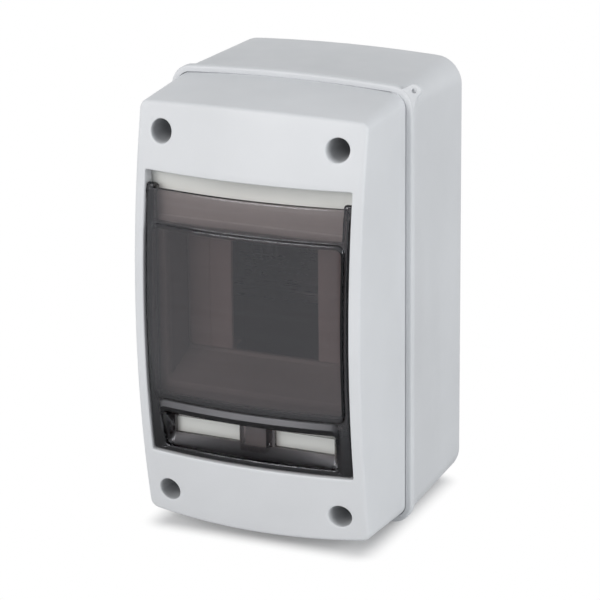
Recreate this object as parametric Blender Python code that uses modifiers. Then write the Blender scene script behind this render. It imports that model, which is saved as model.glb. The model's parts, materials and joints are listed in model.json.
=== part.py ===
# Combiner box for four rail modules: a back box for the wall, a domed cover held by four captive
# screws, a smoked door on two pivots, and a module frame over a mounting rail and terminal bars.
# X runs right, Y from the front to the wall and Z up. The origin is the middle of the flat back.
import math

import bmesh
import bpy
from mathutils import Matrix, Vector

MM = 0.001

# Clearances
FIT_GAP = 0.3 * MM          # between seated pieces
DOOR_GAP = 0.4 * MM         # around the door in its opening
OVERCUT = 2.0 * MM          # how far a cutter runs past the face it opens

# Facets
CORNER_STEPS = 5
EDGE_STEPS = 10
SIDE_STEPS = 12
FILLET_STEPS = 3
ROUND_STEPS = 16
SMALL_STEPS = 10
CORD_STEPS = 8

# Cover
COVER_HEIGHT = 168.8 * MM   # at the rim, without the bow of its ends
COVER_DEPTH = 47.5 * MM     # from the rim to the middle of the domed front
COVER_CORNER = 5.0 * MM
COVER_WALL = 2.2 * MM
COVER_FRONT = 2.4 * MM
COVER_FILLET = 1.5 * MM
TAPER_SIDE = 0.7 * MM       # how far the front outline stands inside the rim's
TAPER_END = 2.5 * MM
EDGE_BOW = 1.8 * MM         # how far the top and bottom edges bow out
FRONT_BOW = 2.2 * MM
DOME_SIDE = 5.0 * MM        # fall of the front towards its sides
DOME_END = 9.3 * MM         # and towards its ends
SKIRT = 2.5 * MM            # what the cover's edge goes inside the rim

# Back box
BOX_DEPTH = 56.0 * MM
BOX_WALL = 2.8 * MM
BOX_FLOOR = 2.6 * MM
BOX_CORNER = 10.0 * MM
BOX_DRAFT = 0.4 * MM        # how much slimmer each side is at the back
BOX_FILLET = 1.5 * MM
RIM_OVERHANG = 2.6 * MM     # how far the rim stands out from the cover
RIM_STEP = 1.0 * MM         # and from the box's wall
RIM_DEPTH = 4.0 * MM
RIM_FILLET = 0.6 * MM
RIM_LEAD = 1.0 * MM         # chamfer that leads the cover's edge in
GASKET_THICKNESS = 1.6 * MM
EYELET_RADIUS = 2.4 * MM
EYELET_HOLE = 2.0 * MM
EYELET_DEPTH = 2.6 * MM
EYELET_OUT = 0.7 * MM       # its centre outside the rim's side, and below the rim's end
EYELET_ROOT = 4.6 * MM      # how far it tapers back along the rim

# Cover screws and the pillars they go into
SCREW_INSET_SIDE = 10.7 * MM
SCREW_INSET_END = 10.2 * MM
SCREW_HEAD = 8.2 * MM
SCREW_BORE = SCREW_HEAD + 3 * FIT_GAP
SCREW_HEAD_HEIGHT = 5.0 * MM
SCREW_SHANK = 4.0 * MM
SCREW_REACH = 16.0 * MM
SCREW_SLOT = 1.4 * MM
TUBE_WALL = 1.8 * MM
SEAT_THICKNESS = 3.2 * MM
SEAL_CORD = 1.4 * MM
PILLAR = 9.0 * MM
PILLAR_RIB = 2.0 * MM
PILLAR_BORE_DEPTH = 20.0 * MM

# Door opening in the cover
OPENING_MARGIN = 4.4 * MM   # cover left beside the opening
MARGIN_TOP = 25.1 * MM      # and above and below it
MARGIN_BOTTOM = 26.5 * MM
COLLAR_WALL = 2.2 * MM
LEDGE_DEPTH = 14.2 * MM     # from the middle of the dome back to the ledge

# Module frame
MODULE_WIDTH = 18.0 * MM
MODULES = 4
WINDOW_HEIGHT = 46.0 * MM
RAIL_Z = 3.9 * MM
FRAME_PLATE = 2.0 * MM
FRAME_LAP = 0.8 * MM        # flange beyond the collar
LEDGE_SIDE = 5.5 * MM       # ledge beside the recess
RECESS_DEPTH = 17.8 * MM    # from the ledge back to the window panel
RECESS_SIDE = 0.5 * MM      # recess wider than the window
RECESS_FOOT = 1.5 * MM      # recess taller than the window at the panel
RECESS_MOUTH = 8.4 * MM     # and at the ledge
BEAD_WIDTH = 3.0 * MM
BEAD_HEIGHT = 0.8 * MM
HOOK_WIDTH = 9.0 * MM
HOOK_THICKNESS = 2.0 * MM
HOOK_BARB = 1.0 * MM
HOOK_X = 26.0 * MM

# Blanks
BLANK_MODULES = 1
BLANK_PLATE = 1.8 * MM
BLANK_LEG = 8.0 * MM
BLANK_BARB = 1.0 * MM
SCORE_WIDTH = 0.6 * MM
SCORE_DEPTH = 0.7 * MM

# Door
DOOR_TOP_GAP = 6.7 * MM     # ledge left open above the door
DOOR_FRONT = 1.8 * MM
DOOR_WALL = 1.7 * MM
DOOR_BACK_GAP = 1.2 * MM    # door's back edge in front of the ledge
BAND_SINK = 0.9 * MM        # bands behind the cover's front
BAND_TOP = 12.6 * MM        # height of the bands above and below the raised pane
BAND_BOTTOM = 23.5 * MM
PANE_SIDE = 1.8 * MM        # band left beside the raised pane
PANE_CORNER = 3.0 * MM
HINGE_DROP = 1.9 * MM       # hinge axis below the door's top edge
EAR_GAP = 0.6 * MM          # ears in front of the ledge
EAR_RADIUS = 3.4 * MM
EAR_WIDTH = 5.6 * MM
STUD = 2.4 * MM
STUD_LENGTH = 2.4 * MM
POCKET_SIDE = 6.1 * MM      # door left beside, above and below the finger pocket
POCKET_ABOVE = 5.0 * MM
POCKET_BELOW = 3.0 * MM
POCKET_SLOPE = 3.4 * MM     # rise of its floor to the back
POCKET_WALL = 1.5 * MM
POCKET_BLOCK = 14.6 * MM    # width of the block between the two finger windows
POCKET_BLOCK_TAPER = 2.2 * MM   # how much slimmer each side is at its front
POCKET_BLOCK_HEIGHT = 2.7 * MM  # in front of the pocket's back
FINGER_DROP = 5.9 * MM      # finger windows below the pocket's top
FINGER_SIDE = 2.5 * MM      # and inside its ends

# Mounting rail
RAIL_BEHIND_PANEL = 45.0 * MM
RAIL_END_GAP = 4.5 * MM     # between the rail and the box's walls
RAIL_HEIGHT = 35.0 * MM
RAIL_DEPTH = 7.5 * MM
RAIL_BRIM = 5.0 * MM
RAIL_SHEET = 1.0 * MM
RAIL_SLOT_LENGTH = 12.0 * MM
RAIL_SCREW_X = 28.0 * MM
RAIL_SCREW_SHANK = 3.6 * MM
RAIL_SCREW_HEAD = 8.0 * MM
RAIL_SCREW_HEAD_HEIGHT = 2.6 * MM
RAIL_SCREW_REACH = 10.0 * MM
BOSS = 9.0 * MM

# Terminal strips
STRIP_TOP_GAP = 13.7 * MM   # highest strip below the upper cover screws
STRIP_PITCH = 16.0 * MM     # between the two upper strips
STRIP_BOTTOM_GAP = 21.7 * MM
STRIP_LENGTH = 68.0 * MM
STRIP_HEIGHT = 12.0 * MM
STRIP_PLATE = 3.0 * MM
STRIP_CHEEK = 3.0 * MM
STRIP_STANDOFF = 9.0 * MM
STRIP_POST = 7.0 * MM
STRIP_PIN = 3.2 * MM
STRIP_POST_X = 25.0 * MM
BAR_HEIGHT = 7.0 * MM
BAR_DEPTH = 9.0 * MM
BAR_SCREWS = 4
BAR_PITCH = 14.0 * MM
BAR_SCREW_SHANK = 3.0 * MM
BAR_SCREW_HEAD = 5.0 * MM
BAR_SCREW_HEAD_HEIGHT = 2.4 * MM
BAR_WIRE_HOLE = 4.4 * MM

# Wall fixings and cable knock-outs
FIXING_INSET_SIDE = 28.7 * MM
FIXING_INSET_END = 12.5 * MM
FIXING_HOLE = 5.0 * MM
FIXING_BOSS = 13.0 * MM
FIXING_BOSS_HEIGHT = 5.0 * MM
FIXING_SINK = 9.0 * MM
FIXING_SINK_DEPTH = 3.6 * MM
CAP_DISC = 12.0 * MM
CAP_THICKNESS = 1.4 * MM
CAP_PLUG_DEPTH = 2.4 * MM
KNOCKOUT = 20.0 * MM
KNOCKOUT_GROOVE = 0.8 * MM
KNOCKOUT_DEPTH = 0.8 * MM   # least depth of the groove
KNOCKOUT_EDGE = 11.7 * MM   # from the outer knock-outs to the box's sides

# Planes from the wall forwards, worked out from the depths above
RIM_Y = -BOX_DEPTH
APEX_Y = RIM_Y - COVER_DEPTH
LEDGE_Y = APEX_Y + LEDGE_DEPTH
PANEL_Y = LEDGE_Y + RECESS_DEPTH
RAIL_Y = PANEL_Y + RAIL_BEHIND_PANEL
HINGE_Y = LEDGE_Y - EAR_GAP - EAR_RADIUS
SKIRT_Y = RIM_Y + SKIRT
STEP_Y = SKIRT_Y + GASKET_THICKNESS + 2 * FIT_GAP

# Half sizes that several pieces share
WINDOW_X = MODULES * MODULE_WIDTH / 2
RECESS_X = WINDOW_X + RECESS_SIDE
OPENING_X = RECESS_X + LEDGE_SIDE
FRONT_X = OPENING_X + OPENING_MARGIN
COVER_X = FRONT_X + TAPER_SIDE
FOOT_Z = WINDOW_HEIGHT / 2 + RECESS_FOOT
MOUTH_Z = WINDOW_HEIGHT / 2 + RECESS_MOUTH
COVER_Z = COVER_HEIGHT / 2
FRONT_Z = COVER_Z - TAPER_END
OPENING_TOP = FRONT_Z - MARGIN_TOP
DOOR_TOP = OPENING_TOP - DOOR_TOP_GAP
HINGE_Z = DOOR_TOP - HINGE_DROP
RIM_X = COVER_X + RIM_OVERHANG
RIM_Z = COVER_Z + RIM_OVERHANG
BOX_X = RIM_X - RIM_STEP
BOX_Z = RIM_Z - RIM_STEP
OPENING_BOTTOM = MARGIN_BOTTOM - FRONT_Z
DOOR_X = OPENING_X - DOOR_GAP
DOOR_BOTTOM = OPENING_BOTTOM + DOOR_GAP
DOOR_BACK_Y = LEDGE_Y - DOOR_BACK_GAP
PANE_TOP = DOOR_TOP - BAND_TOP
PANE_BOTTOM = DOOR_BOTTOM + BAND_BOTTOM
POCKET_X = DOOR_X - POCKET_SIDE
POCKET_TOP = PANE_BOTTOM - POCKET_ABOVE
POCKET_BOTTOM = DOOR_BOTTOM + POCKET_BELOW
FINGER_TOP = POCKET_TOP - FINGER_DROP
FRAME_X = FRONT_X - COVER_WALL - FIT_GAP
FRAME_TOP = OPENING_TOP + COLLAR_WALL + FRAME_LAP
FRAME_BOTTOM = OPENING_BOTTOM - COLLAR_WALL - FRAME_LAP
SCREW_X = FRONT_X - SCREW_INSET_SIDE
SCREW_Z = FRONT_Z - SCREW_INSET_END
SEAT_Y = RIM_Y - FIT_GAP - SEAT_THICKNESS
RAIL_X = BOX_X - BOX_DRAFT - BOX_WALL - RAIL_END_GAP
RAIL_WEB_Y = RAIL_Y + RAIL_DEPTH - RAIL_SHEET
FIXING_X = BOX_X - FIXING_INSET_SIDE
FIXING_Z = BOX_Z - FIXING_INSET_END
KNOCKOUT_PITCH = BOX_X - KNOCKOUT_EDGE - KNOCKOUT / 2
STRIPS = {
    "positive": SCREW_Z - STRIP_TOP_GAP,
    "negative": SCREW_Z - STRIP_TOP_GAP - STRIP_PITCH,
    "earth": STRIP_BOTTOM_GAP - SCREW_Z,
}
CORNERS = {
    "top_left": (-1, 1),
    "top_right": (1, 1),
    "bottom_left": (-1, -1),
    "bottom_right": (1, -1),
}


def new_collection(name):
    collection = bpy.data.collections.new(name)
    bpy.context.scene.collection.children.link(collection)
    return collection


for old in list(bpy.data.objects):
    bpy.data.objects.remove(old, do_unlink=True)
PARTS = new_collection("combiner_box")
CUTTERS = new_collection("combiner_box_cutters")


def finish(name, colour, roughness, metallic=0.0, transmission=0.0):
    """A material with the part's colour, roughness and metallic value."""
    material = bpy.data.materials.new(name)
    material.use_nodes = True
    shader = material.node_tree.nodes["Principled BSDF"]
    shader.inputs["Base Color"].default_value = (*colour, 1.0)
    shader.inputs["Roughness"].default_value = roughness
    shader.inputs["Metallic"].default_value = metallic
    shader.inputs["Transmission Weight"].default_value = transmission
    return material


SHELL_GREY = finish("shell_grey", (0.68, 0.69, 0.70), 0.42)
FRAME_GREY = finish("frame_grey", (0.55, 0.57, 0.53), 0.45)
BLANK_GREY = finish("blank_grey", (0.58, 0.57, 0.55), 0.45)
SMOKED = finish("smoked_polycarbonate", (0.10, 0.10, 0.11), 0.08, transmission=0.8)
SEAL_BLACK = finish("seal_black", (0.03, 0.03, 0.03), 0.7)
SCREW_GREY = finish("screw_grey", (0.30, 0.31, 0.32), 0.5)
ZINC = finish("zinc_plated_steel", (0.62, 0.63, 0.64), 0.32, metallic=1.0)
BRASS = finish("terminal_brass", (0.78, 0.60, 0.27), 0.30, metallic=1.0)
HOLDER_IVORY = finish("holder_ivory", (0.74, 0.71, 0.62), 0.5)
CAP_GREY = finish("cap_grey", (0.45, 0.46, 0.47), 0.5)


def add_part(name, mesh, material):
    mesh.materials.append(material)
    obj = bpy.data.objects.new(name, mesh)
    PARTS.objects.link(obj)
    return obj


def add_cutter(name, mesh):
    obj = bpy.data.objects.new(name, mesh)
    obj.hide_render = True
    obj.display_type = "WIRE"
    CUTTERS.objects.link(obj)
    return obj


def to_mesh(bm, name, sharp_angle=35):
    """Closes a bmesh into a mesh with its faces turned out, smooth but for its sharp edges."""
    bmesh.ops.recalc_face_normals(bm, faces=bm.faces)
    mesh = bpy.data.meshes.new(name)
    bm.to_mesh(mesh)
    bm.free()
    mesh.shade_smooth()
    mesh.set_sharp_from_angle(angle=math.radians(sharp_angle))
    return mesh


def boolean(target, operation, *others):
    for other in others:
        modifier = target.modifiers.new(operation.lower() + "_" + other.name, "BOOLEAN")
        modifier.operation = operation
        modifier.solver = "EXACT"
        modifier.object = other


def cut(target, *cutters):
    boolean(target, "DIFFERENCE", *cutters)


def join(target, *added):
    boolean(target, "UNION", *added)


def block(name, low, high):
    """A box between two corners."""
    low, high = Vector(low), Vector(high)
    bm = bmesh.new()
    place = Matrix.Translation((low + high) / 2) @ Matrix.Diagonal((*(high - low), 1.0))
    bmesh.ops.create_cube(bm, size=1.0, matrix=place)
    return to_mesh(bm, name)


def rod(name, radius, start, end, steps=ROUND_STEPS):
    """A cylinder between two points."""
    start, end = Vector(start), Vector(end)
    along = end - start
    turn = along.to_track_quat("Z", "Y").to_matrix().to_4x4()
    bm = bmesh.new()
    bmesh.ops.create_cone(
        bm,
        cap_ends=True,
        segments=steps,
        radius1=radius,
        radius2=radius,
        depth=along.length,
        matrix=Matrix.Translation((start + end) / 2) @ turn,
    )
    return to_mesh(bm, name)


def post(name, radius, x, z, front, back, steps=ROUND_STEPS):
    """A cylinder that runs from front to back."""
    return rod(name, radius, (x, front, z), (x, back, z), steps)


def extrusion(name, profile, left, right):
    """An outline of (y, z) points drawn out along X."""
    bm = bmesh.new()
    face = bm.faces.new([bm.verts.new((left, y, z)) for y, z in profile])
    drawn = bmesh.ops.extrude_face_region(bm, geom=[face])["geom"]
    moved = [item for item in drawn if isinstance(item, bmesh.types.BMVert)]
    bmesh.ops.translate(bm, verts=moved, vec=(right - left, 0, 0))
    return to_mesh(bm, name)


def loft(name, rings, closed=False):
    """A skin over rings of equal counts of points, capped at both ends or closed on itself."""
    bm = bmesh.new()
    loops = [[bm.verts.new(point) for point in ring] for ring in rings]
    pairs = list(zip(loops, loops[1:]))
    if closed:
        pairs.append((loops[-1], loops[0]))
    else:
        bmesh.ops.poke(bm, faces=[bm.faces.new(loops[0]), bm.faces.new(loops[-1])])
    for near, far in pairs:
        for here in range(len(near)):
            after = (here + 1) % len(near)
            bm.faces.new((near[here], near[after], far[after], far[here]))
    bmesh.ops.triangulate(bm, faces=bm.faces)
    return to_mesh(bm, name)


def turned(name, profile, place, material, steps=SMALL_STEPS, closed=False):
    """A profile of (radius, height) turned about an axis that points to the front from place."""
    count = len(profile)
    edges = [(here, (here + 1) % count) for here in range(count if closed else count - 1)]
    mesh = bpy.data.meshes.new(name)
    mesh.from_pydata([(radius, 0.0, height) for radius, height in profile], edges, [])
    obj = add_part(name, mesh, material)
    screw = obj.modifiers.new("turn", "SCREW")
    screw.axis = "Z"
    screw.steps = steps
    screw.render_steps = steps
    screw.use_merge_vertices = True
    screw.merge_threshold = 0.00001
    screw.use_smooth_shade = True
    obj.location = place
    obj.rotation_euler = (math.pi / 2, 0.0, 0.0)
    return obj


def outline(half_width, half_height, bow, radius, inset=0.0, side_steps=1):
    """(x, z) points of a rounded rectangle whose top and bottom edges bow outwards."""
    wide = half_width - inset
    high = half_height - inset
    round_by = max(radius - inset, FIT_GAP)
    arc_x = wide - round_by

    def edge_z(x):
        return high + bow * (1 - (x / wide) ** 2)

    arc_z = edge_z(arc_x) - round_by
    half = [(wide, arc_z * (2 * step / side_steps - 1)) for step in range(side_steps)]
    for step in range(CORNER_STEPS + 1):
        angle = math.pi / 2 * step / CORNER_STEPS
        half.append((arc_x + round_by * math.cos(angle), arc_z + round_by * math.sin(angle)))
    for step in range(1, EDGE_STEPS):
        x = arc_x * (1 - 2 * step / EDGE_STEPS)
        half.append((x, edge_z(x)))
    for step in range(CORNER_STEPS):
        angle = math.pi / 2 * (1 + step / CORNER_STEPS)
        half.append((-arc_x + round_by * math.cos(angle), arc_z + round_by * math.sin(angle)))
    return half + [(-x, -z) for x, z in half]


def level(points, y):
    return [(x, y, z) for x, z in points]


def dome(x, z):
    """The cover's front surface."""
    return APEX_Y + DOME_SIDE * (x / FRONT_X) ** 2 + DOME_END * (z / FRONT_Z) ** 2


def cover_outline(inset=0.0, side_steps=1):
    return outline(COVER_X, COVER_Z, EDGE_BOW, COVER_CORNER, inset, side_steps)


def rim_outline(inset=0.0):
    return outline(RIM_X, RIM_Z, EDGE_BOW, COVER_CORNER + RIM_OVERHANG, inset)


def box_outline(inset=0.0):
    return outline(BOX_X, BOX_Z, EDGE_BOW, BOX_CORNER, inset)


def cover_skin(name, inset, behind, fillet, edge_y):
    """The cover's outside, or its inside where inset is the wall: a tapered skirt under a domed front."""
    dome_shares = (0.85, 0.7, 0.5, 0.3, 0.1)
    rings = [level(cover_outline(inset, SIDE_STEPS), y) for y in (edge_y, RIM_Y)]
    for step in range(FILLET_STEPS + 1):
        angle = math.pi / 2 * step / FILLET_STEPS
        inward = inset + fillet * (1 - math.cos(angle))
        back = behind + fillet * (1 - math.sin(angle))
        points = outline(FRONT_X, FRONT_Z, FRONT_BOW, COVER_CORNER, inward, SIDE_STEPS)
        rings.append([(x, dome(x, z) + back, z) for x, z in points])
    for share in dome_shares:
        shrunk = [(x * share, z * share) for x, z in points]
        rings.append([(x, dome(x, z) + behind, z) for x, z in shrunk])
    return loft(name, rings)


def domed_block(name, low, high, behind, back_y, across=8, up=12):
    """A block whose front follows the dome and whose back is flat; low and high are (x, z)."""
    bm = bmesh.new()
    bmesh.ops.create_grid(bm, x_segments=across, y_segments=up, size=0.5)
    for vert in bm.verts:
        x = low[0] + (vert.co.x + 0.5) * (high[0] - low[0])
        z = low[1] + (vert.co.y + 0.5) * (high[1] - low[1])
        vert.co = (x, dome(x, z) + behind, z)
    border = [edge for edge in bm.edges if edge.is_boundary]
    drawn = bmesh.ops.extrude_edge_only(bm, edges=border)["geom"]
    for vert in [item for item in drawn if isinstance(item, bmesh.types.BMVert)]:
        vert.co.y = back_y
    rear = [edge for edge in drawn if isinstance(edge, bmesh.types.BMEdge) and edge.is_boundary]
    bmesh.ops.poke(bm, faces=bmesh.ops.edgeloop_fill(bm, edges=rear)["faces"])
    bmesh.ops.triangulate(bm, faces=bm.faces)
    return to_mesh(bm, name)


def set_origin(obj, point):
    """Moves an object's origin and leaves its shape where it is."""
    obj.data.transform(Matrix.Translation(-Vector(point)))
    obj.location = point


def carried_by(empty, *children):
    for child in children:
        child.parent = empty
        child.matrix_parent_inverse = Matrix.Translation(-empty.location)


def joint_empty(name, place):
    empty = bpy.data.objects.new(name, None)
    empty.location = place
    empty.empty_display_size = 10 * MM
    PARTS.objects.link(empty)
    return empty


def make_back_box():
    fillet_back = box_outline(BOX_DRAFT + BOX_FILLET)
    rings = [level(fillet_back, 0.0)]
    for step in range(1, FILLET_STEPS + 1):
        angle = math.pi / 2 * step / FILLET_STEPS
        inward = BOX_DRAFT + BOX_FILLET * (1 - math.sin(angle))
        rings.append(level(box_outline(inward), -BOX_FILLET * (1 - math.cos(angle))))
    rings.append(level(box_outline(), RIM_Y + RIM_DEPTH))
    rings.append(level(rim_outline(), RIM_Y + RIM_DEPTH - RIM_STEP))
    rings.append(level(rim_outline(), RIM_Y + RIM_FILLET))
    rings.append(level(rim_outline(RIM_FILLET), RIM_Y))
    box = add_part("back_box", loft("back_box", rings), SHELL_GREY)

    add_eyelet(box)
    cut(box, add_cutter("box_inside", loft("box_inside", [
        level(box_outline(BOX_DRAFT + BOX_WALL), -BOX_FLOOR),
        level(box_outline(BOX_WALL), STEP_Y),
        level(cover_outline(-FIT_GAP), STEP_Y),
        level(cover_outline(-FIT_GAP), RIM_Y + RIM_LEAD),
        level(cover_outline(-FIT_GAP - RIM_LEAD - OVERCUT), RIM_Y - OVERCUT),
    ])))
    add_pillars(box)
    add_bosses(box)
    add_fixings(box)
    add_knockouts(box)
    return box


def add_eyelet(box):
    """A round lug at the rim's top right corner, tapered into it, with a small hole from front to back."""
    front, back = RIM_Y + RIM_FILLET / 2, RIM_Y + EYELET_DEPTH
    middle_x = RIM_X + EYELET_OUT
    middle_z = RIM_Z - EYELET_OUT
    points = []
    for step in range(ROUND_STEPS // 2 + 1):
        angle = math.pi * (step / (ROUND_STEPS // 2) - 0.25)
        points.append((
            middle_x + EYELET_RADIUS * math.cos(angle),
            middle_z + EYELET_RADIUS * math.sin(angle),
        ))
    points.append((RIM_X - EYELET_ROOT, RIM_Z - RIM_FILLET))
    points.append((RIM_X - RIM_FILLET, RIM_Z - EYELET_ROOT))
    join(box, add_cutter("eyelet", loft("eyelet", [level(points, front), level(points, back)])))
    ahead, behind = front - OVERCUT, back + OVERCUT
    hole = post("eyelet_hole", EYELET_HOLE / 2, middle_x, middle_z, ahead, behind, SMALL_STEPS)
    cut(box, add_cutter("eyelet_hole", hole))


def add_pillars(box):
    """Four pillars for the cover screws, each ribbed to the two nearest walls."""
    wall_middle = BOX_DRAFT + BOX_WALL / 2
    rib_front = RIM_Y + SCREW_REACH
    rib_back = -BOX_FLOOR / 2
    for corner, (right, up) in CORNERS.items():
        x, z = right * SCREW_X, up * SCREW_Z
        side_x = right * (BOX_X - wall_middle)
        end_z = up * (BOX_Z - wall_middle)
        half = PILLAR_RIB / 2
        side_low = (min(x, side_x), rib_front, z - half)
        side_high = (max(x, side_x), rib_back, z + half)
        end_low = (x - half, rib_front, min(z, end_z))
        end_high = (x + half, rib_back, max(z, end_z))
        join(
            box,
            add_cutter("pillar_" + corner, post("pillar", PILLAR / 2, x, z, RIM_Y, rib_back)),
            add_cutter("side_rib_" + corner, block("side_rib", side_low, side_high)),
            add_cutter("end_rib_" + corner, block("end_rib", end_low, end_high)),
        )
        bore = SCREW_SHANK / 2 + FIT_GAP
        bored = post("pillar_bore", bore, x, z, RIM_Y - OVERCUT, RIM_Y + PILLAR_BORE_DEPTH, SMALL_STEPS)
        cut(box, add_cutter("pillar_bore_" + corner, bored))


def add_bosses(box):
    """Bosses for the rail's two screws, and pinned posts for the terminal strips."""
    floor = -BOX_FLOOR / 2
    rail_seat = RAIL_Y + RAIL_DEPTH + FIT_GAP
    for side, x in (("left", -RAIL_SCREW_X), ("right", RAIL_SCREW_X)):
        join(box, add_cutter("boss_" + side, post("boss", BOSS / 2, x, RAIL_Z, rail_seat, floor)))
        bore = RAIL_SCREW_SHANK / 2 + FIT_GAP
        front, back = rail_seat - OVERCUT, RAIL_WEB_Y + RAIL_SCREW_REACH + FIT_GAP
        bored = post("boss_bore", bore, x, RAIL_Z, front, back, SMALL_STEPS)
        cut(box, add_cutter("boss_bore_" + side, bored))
    for strip, z in STRIPS.items():
        shoulder = -BOX_FLOOR - STRIP_STANDOFF
        pin_end = shoulder - STRIP_PLATE
        for side, x in (("left", -STRIP_POST_X), ("right", STRIP_POST_X)):
            name = strip + "_" + side
            wide = post("strip_post", STRIP_POST / 2, x, z, shoulder, floor, SMALL_STEPS)
            slim = post("strip_pin", STRIP_PIN / 2, x, z, pin_end, floor, SMALL_STEPS)
            join(box, add_cutter("strip_post_" + name, wide), add_cutter("strip_pin_" + name, slim))


def add_fixings(box):
    """Four raised wall fixings, each with a sink for the screw's head and its cap."""
    top = -BOX_FLOOR - FIXING_BOSS_HEIGHT
    for corner, (right, up) in CORNERS.items():
        x, z = right * FIXING_X, up * FIXING_Z
        raised = post("fixing", FIXING_BOSS / 2, x, z, top, -BOX_FLOOR / 2)
        sink = post("fixing_sink", FIXING_SINK / 2, x, z, top - OVERCUT, top + FIXING_SINK_DEPTH)
        hole = post("fixing_hole", FIXING_HOLE / 2, x, z, top, OVERCUT, SMALL_STEPS)
        join(box, add_cutter("fixing_" + corner, raised))
        cut(box, add_cutter("fixing_sink_" + corner, sink), add_cutter("fixing_hole_" + corner, hole))


def add_knockouts(box):
    """Rings scored into the outside of the bottom wall, where cable glands are knocked through."""
    middle_y = (RIM_Y + RIM_DEPTH) / 2
    outside = -(BOX_Z + EDGE_BOW + OVERCUT)
    for place, x in (("left", -KNOCKOUT_PITCH), ("middle", 0.0), ("right", KNOCKOUT_PITCH)):
        far_edge = abs(x) + KNOCKOUT / 2
        wall_z = BOX_Z - BOX_DRAFT + EDGE_BOW * (1 - (far_edge / BOX_X) ** 2)
        deepest = KNOCKOUT_DEPTH - wall_z
        rings = []
        for radius, z in (
            (KNOCKOUT / 2, outside),
            (KNOCKOUT / 2, deepest),
            (KNOCKOUT / 2 - KNOCKOUT_GROOVE, deepest),
            (KNOCKOUT / 2 - KNOCKOUT_GROOVE, outside),
        ):
            turns = [2 * math.pi * step / ROUND_STEPS for step in range(ROUND_STEPS)]
            rings.append([
                (x + radius * math.cos(turn), middle_y + radius * math.sin(turn), z) for turn in turns
            ])
        cut(box, add_cutter("knockout_" + place, loft("knockout", rings, closed=True)))


def make_gasket():
    inner = box_outline(BOX_WALL + FIT_GAP)
    outer = cover_outline()
    front, back = SKIRT_Y + FIT_GAP, STEP_Y - FIT_GAP
    rings = [level(inner, back), level(outer, back), level(outer, front), level(inner, front)]
    return add_part("cover_gasket", loft("cover_gasket", rings, closed=True), SEAL_BLACK)


def make_cover():
    cover = add_part("front_cover", cover_skin("front_cover", 0.0, 0.0, COVER_FILLET, SKIRT_Y), SHELL_GREY)
    ahead = APEX_Y - OVERCUT
    inside = add_cutter(
        "cover_inside",
        cover_skin("cover_inside", COVER_WALL, COVER_FRONT, COVER_FILLET, SKIRT_Y + OVERCUT),
    )
    collar_low = (-COVER_X, ahead, OPENING_BOTTOM - COLLAR_WALL)
    collar_high = (COVER_X, LEDGE_Y - FIT_GAP, OPENING_TOP + COLLAR_WALL)
    cut(inside, add_cutter("collar", block("collar", collar_low, collar_high)))
    for corner, (right, up) in CORNERS.items():
        tube = post(
            "tube", SCREW_BORE / 2 + TUBE_WALL, right * SCREW_X, up * SCREW_Z, ahead, RIM_Y - FIT_GAP
        )
        cut(inside, add_cutter("tube_" + corner, tube))
    keep_frame_hooks(inside, ahead)
    cut(cover, inside)

    opening_low = (-OPENING_X, ahead, OPENING_BOTTOM)
    opening_high = (OPENING_X, LEDGE_Y + OVERCUT, OPENING_TOP)
    cut(cover, add_cutter("opening", block("opening", opening_low, opening_high)))
    for corner, (right, up) in CORNERS.items():
        x, z = right * SCREW_X, up * SCREW_Z
        bore = post("screw_bore", SCREW_BORE / 2, x, z, ahead, SEAT_Y)
        shank = post("shank_hole", SCREW_SHANK / 2 + FIT_GAP, x, z, ahead, RIM_Y + OVERCUT, SMALL_STEPS)
        cut(cover, add_cutter("screw_bore_" + corner, bore), add_cutter("shank_hole_" + corner, shank))
    reach = DOOR_X + STUD_LENGTH + FIT_GAP
    pivot = rod("pivot", STUD / 2 + FIT_GAP, (-reach, HINGE_Y, HINGE_Z), (reach, HINGE_Y, HINGE_Z))
    cut(cover, add_cutter("pivot_holes", pivot))
    return cover


def keep_frame_hooks(inside, ahead):
    """Takes four hooks out of the cover's inside cutter, so that they stay: they hold the frame's flange."""
    barb_front = LEDGE_Y + FRAME_PLATE + FIT_GAP
    barb_back = barb_front + HOOK_THICKNESS
    for end, edge, out in (("top", FRAME_TOP, 1), ("bottom", FRAME_BOTTOM, -1)):
        near = edge + out * FIT_GAP
        far = near + out * HOOK_THICKNESS
        tip = edge - out * HOOK_BARB
        for side, x in (("left", -HOOK_X), ("right", HOOK_X)):
            low_x, high_x = x - HOOK_WIDTH / 2, x + HOOK_WIDTH / 2
            stem = block("hook", (low_x, ahead, min(near, far)), (high_x, barb_back, max(near, far)))
            barb = block("barb", (low_x, barb_front, min(tip, far)), (high_x, barb_back, max(tip, far)))
            name = end + "_" + side
            cut(inside, add_cutter("hook_" + name, stem), add_cutter("barb_" + name, barb))


def recess_ring(y, half_width, half_height):
    corners = ((-1, -1), (1, -1), (1, 1), (-1, 1))
    return [(right * half_width, y, RAIL_Z + up * half_height) for right, up in corners]


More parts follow.
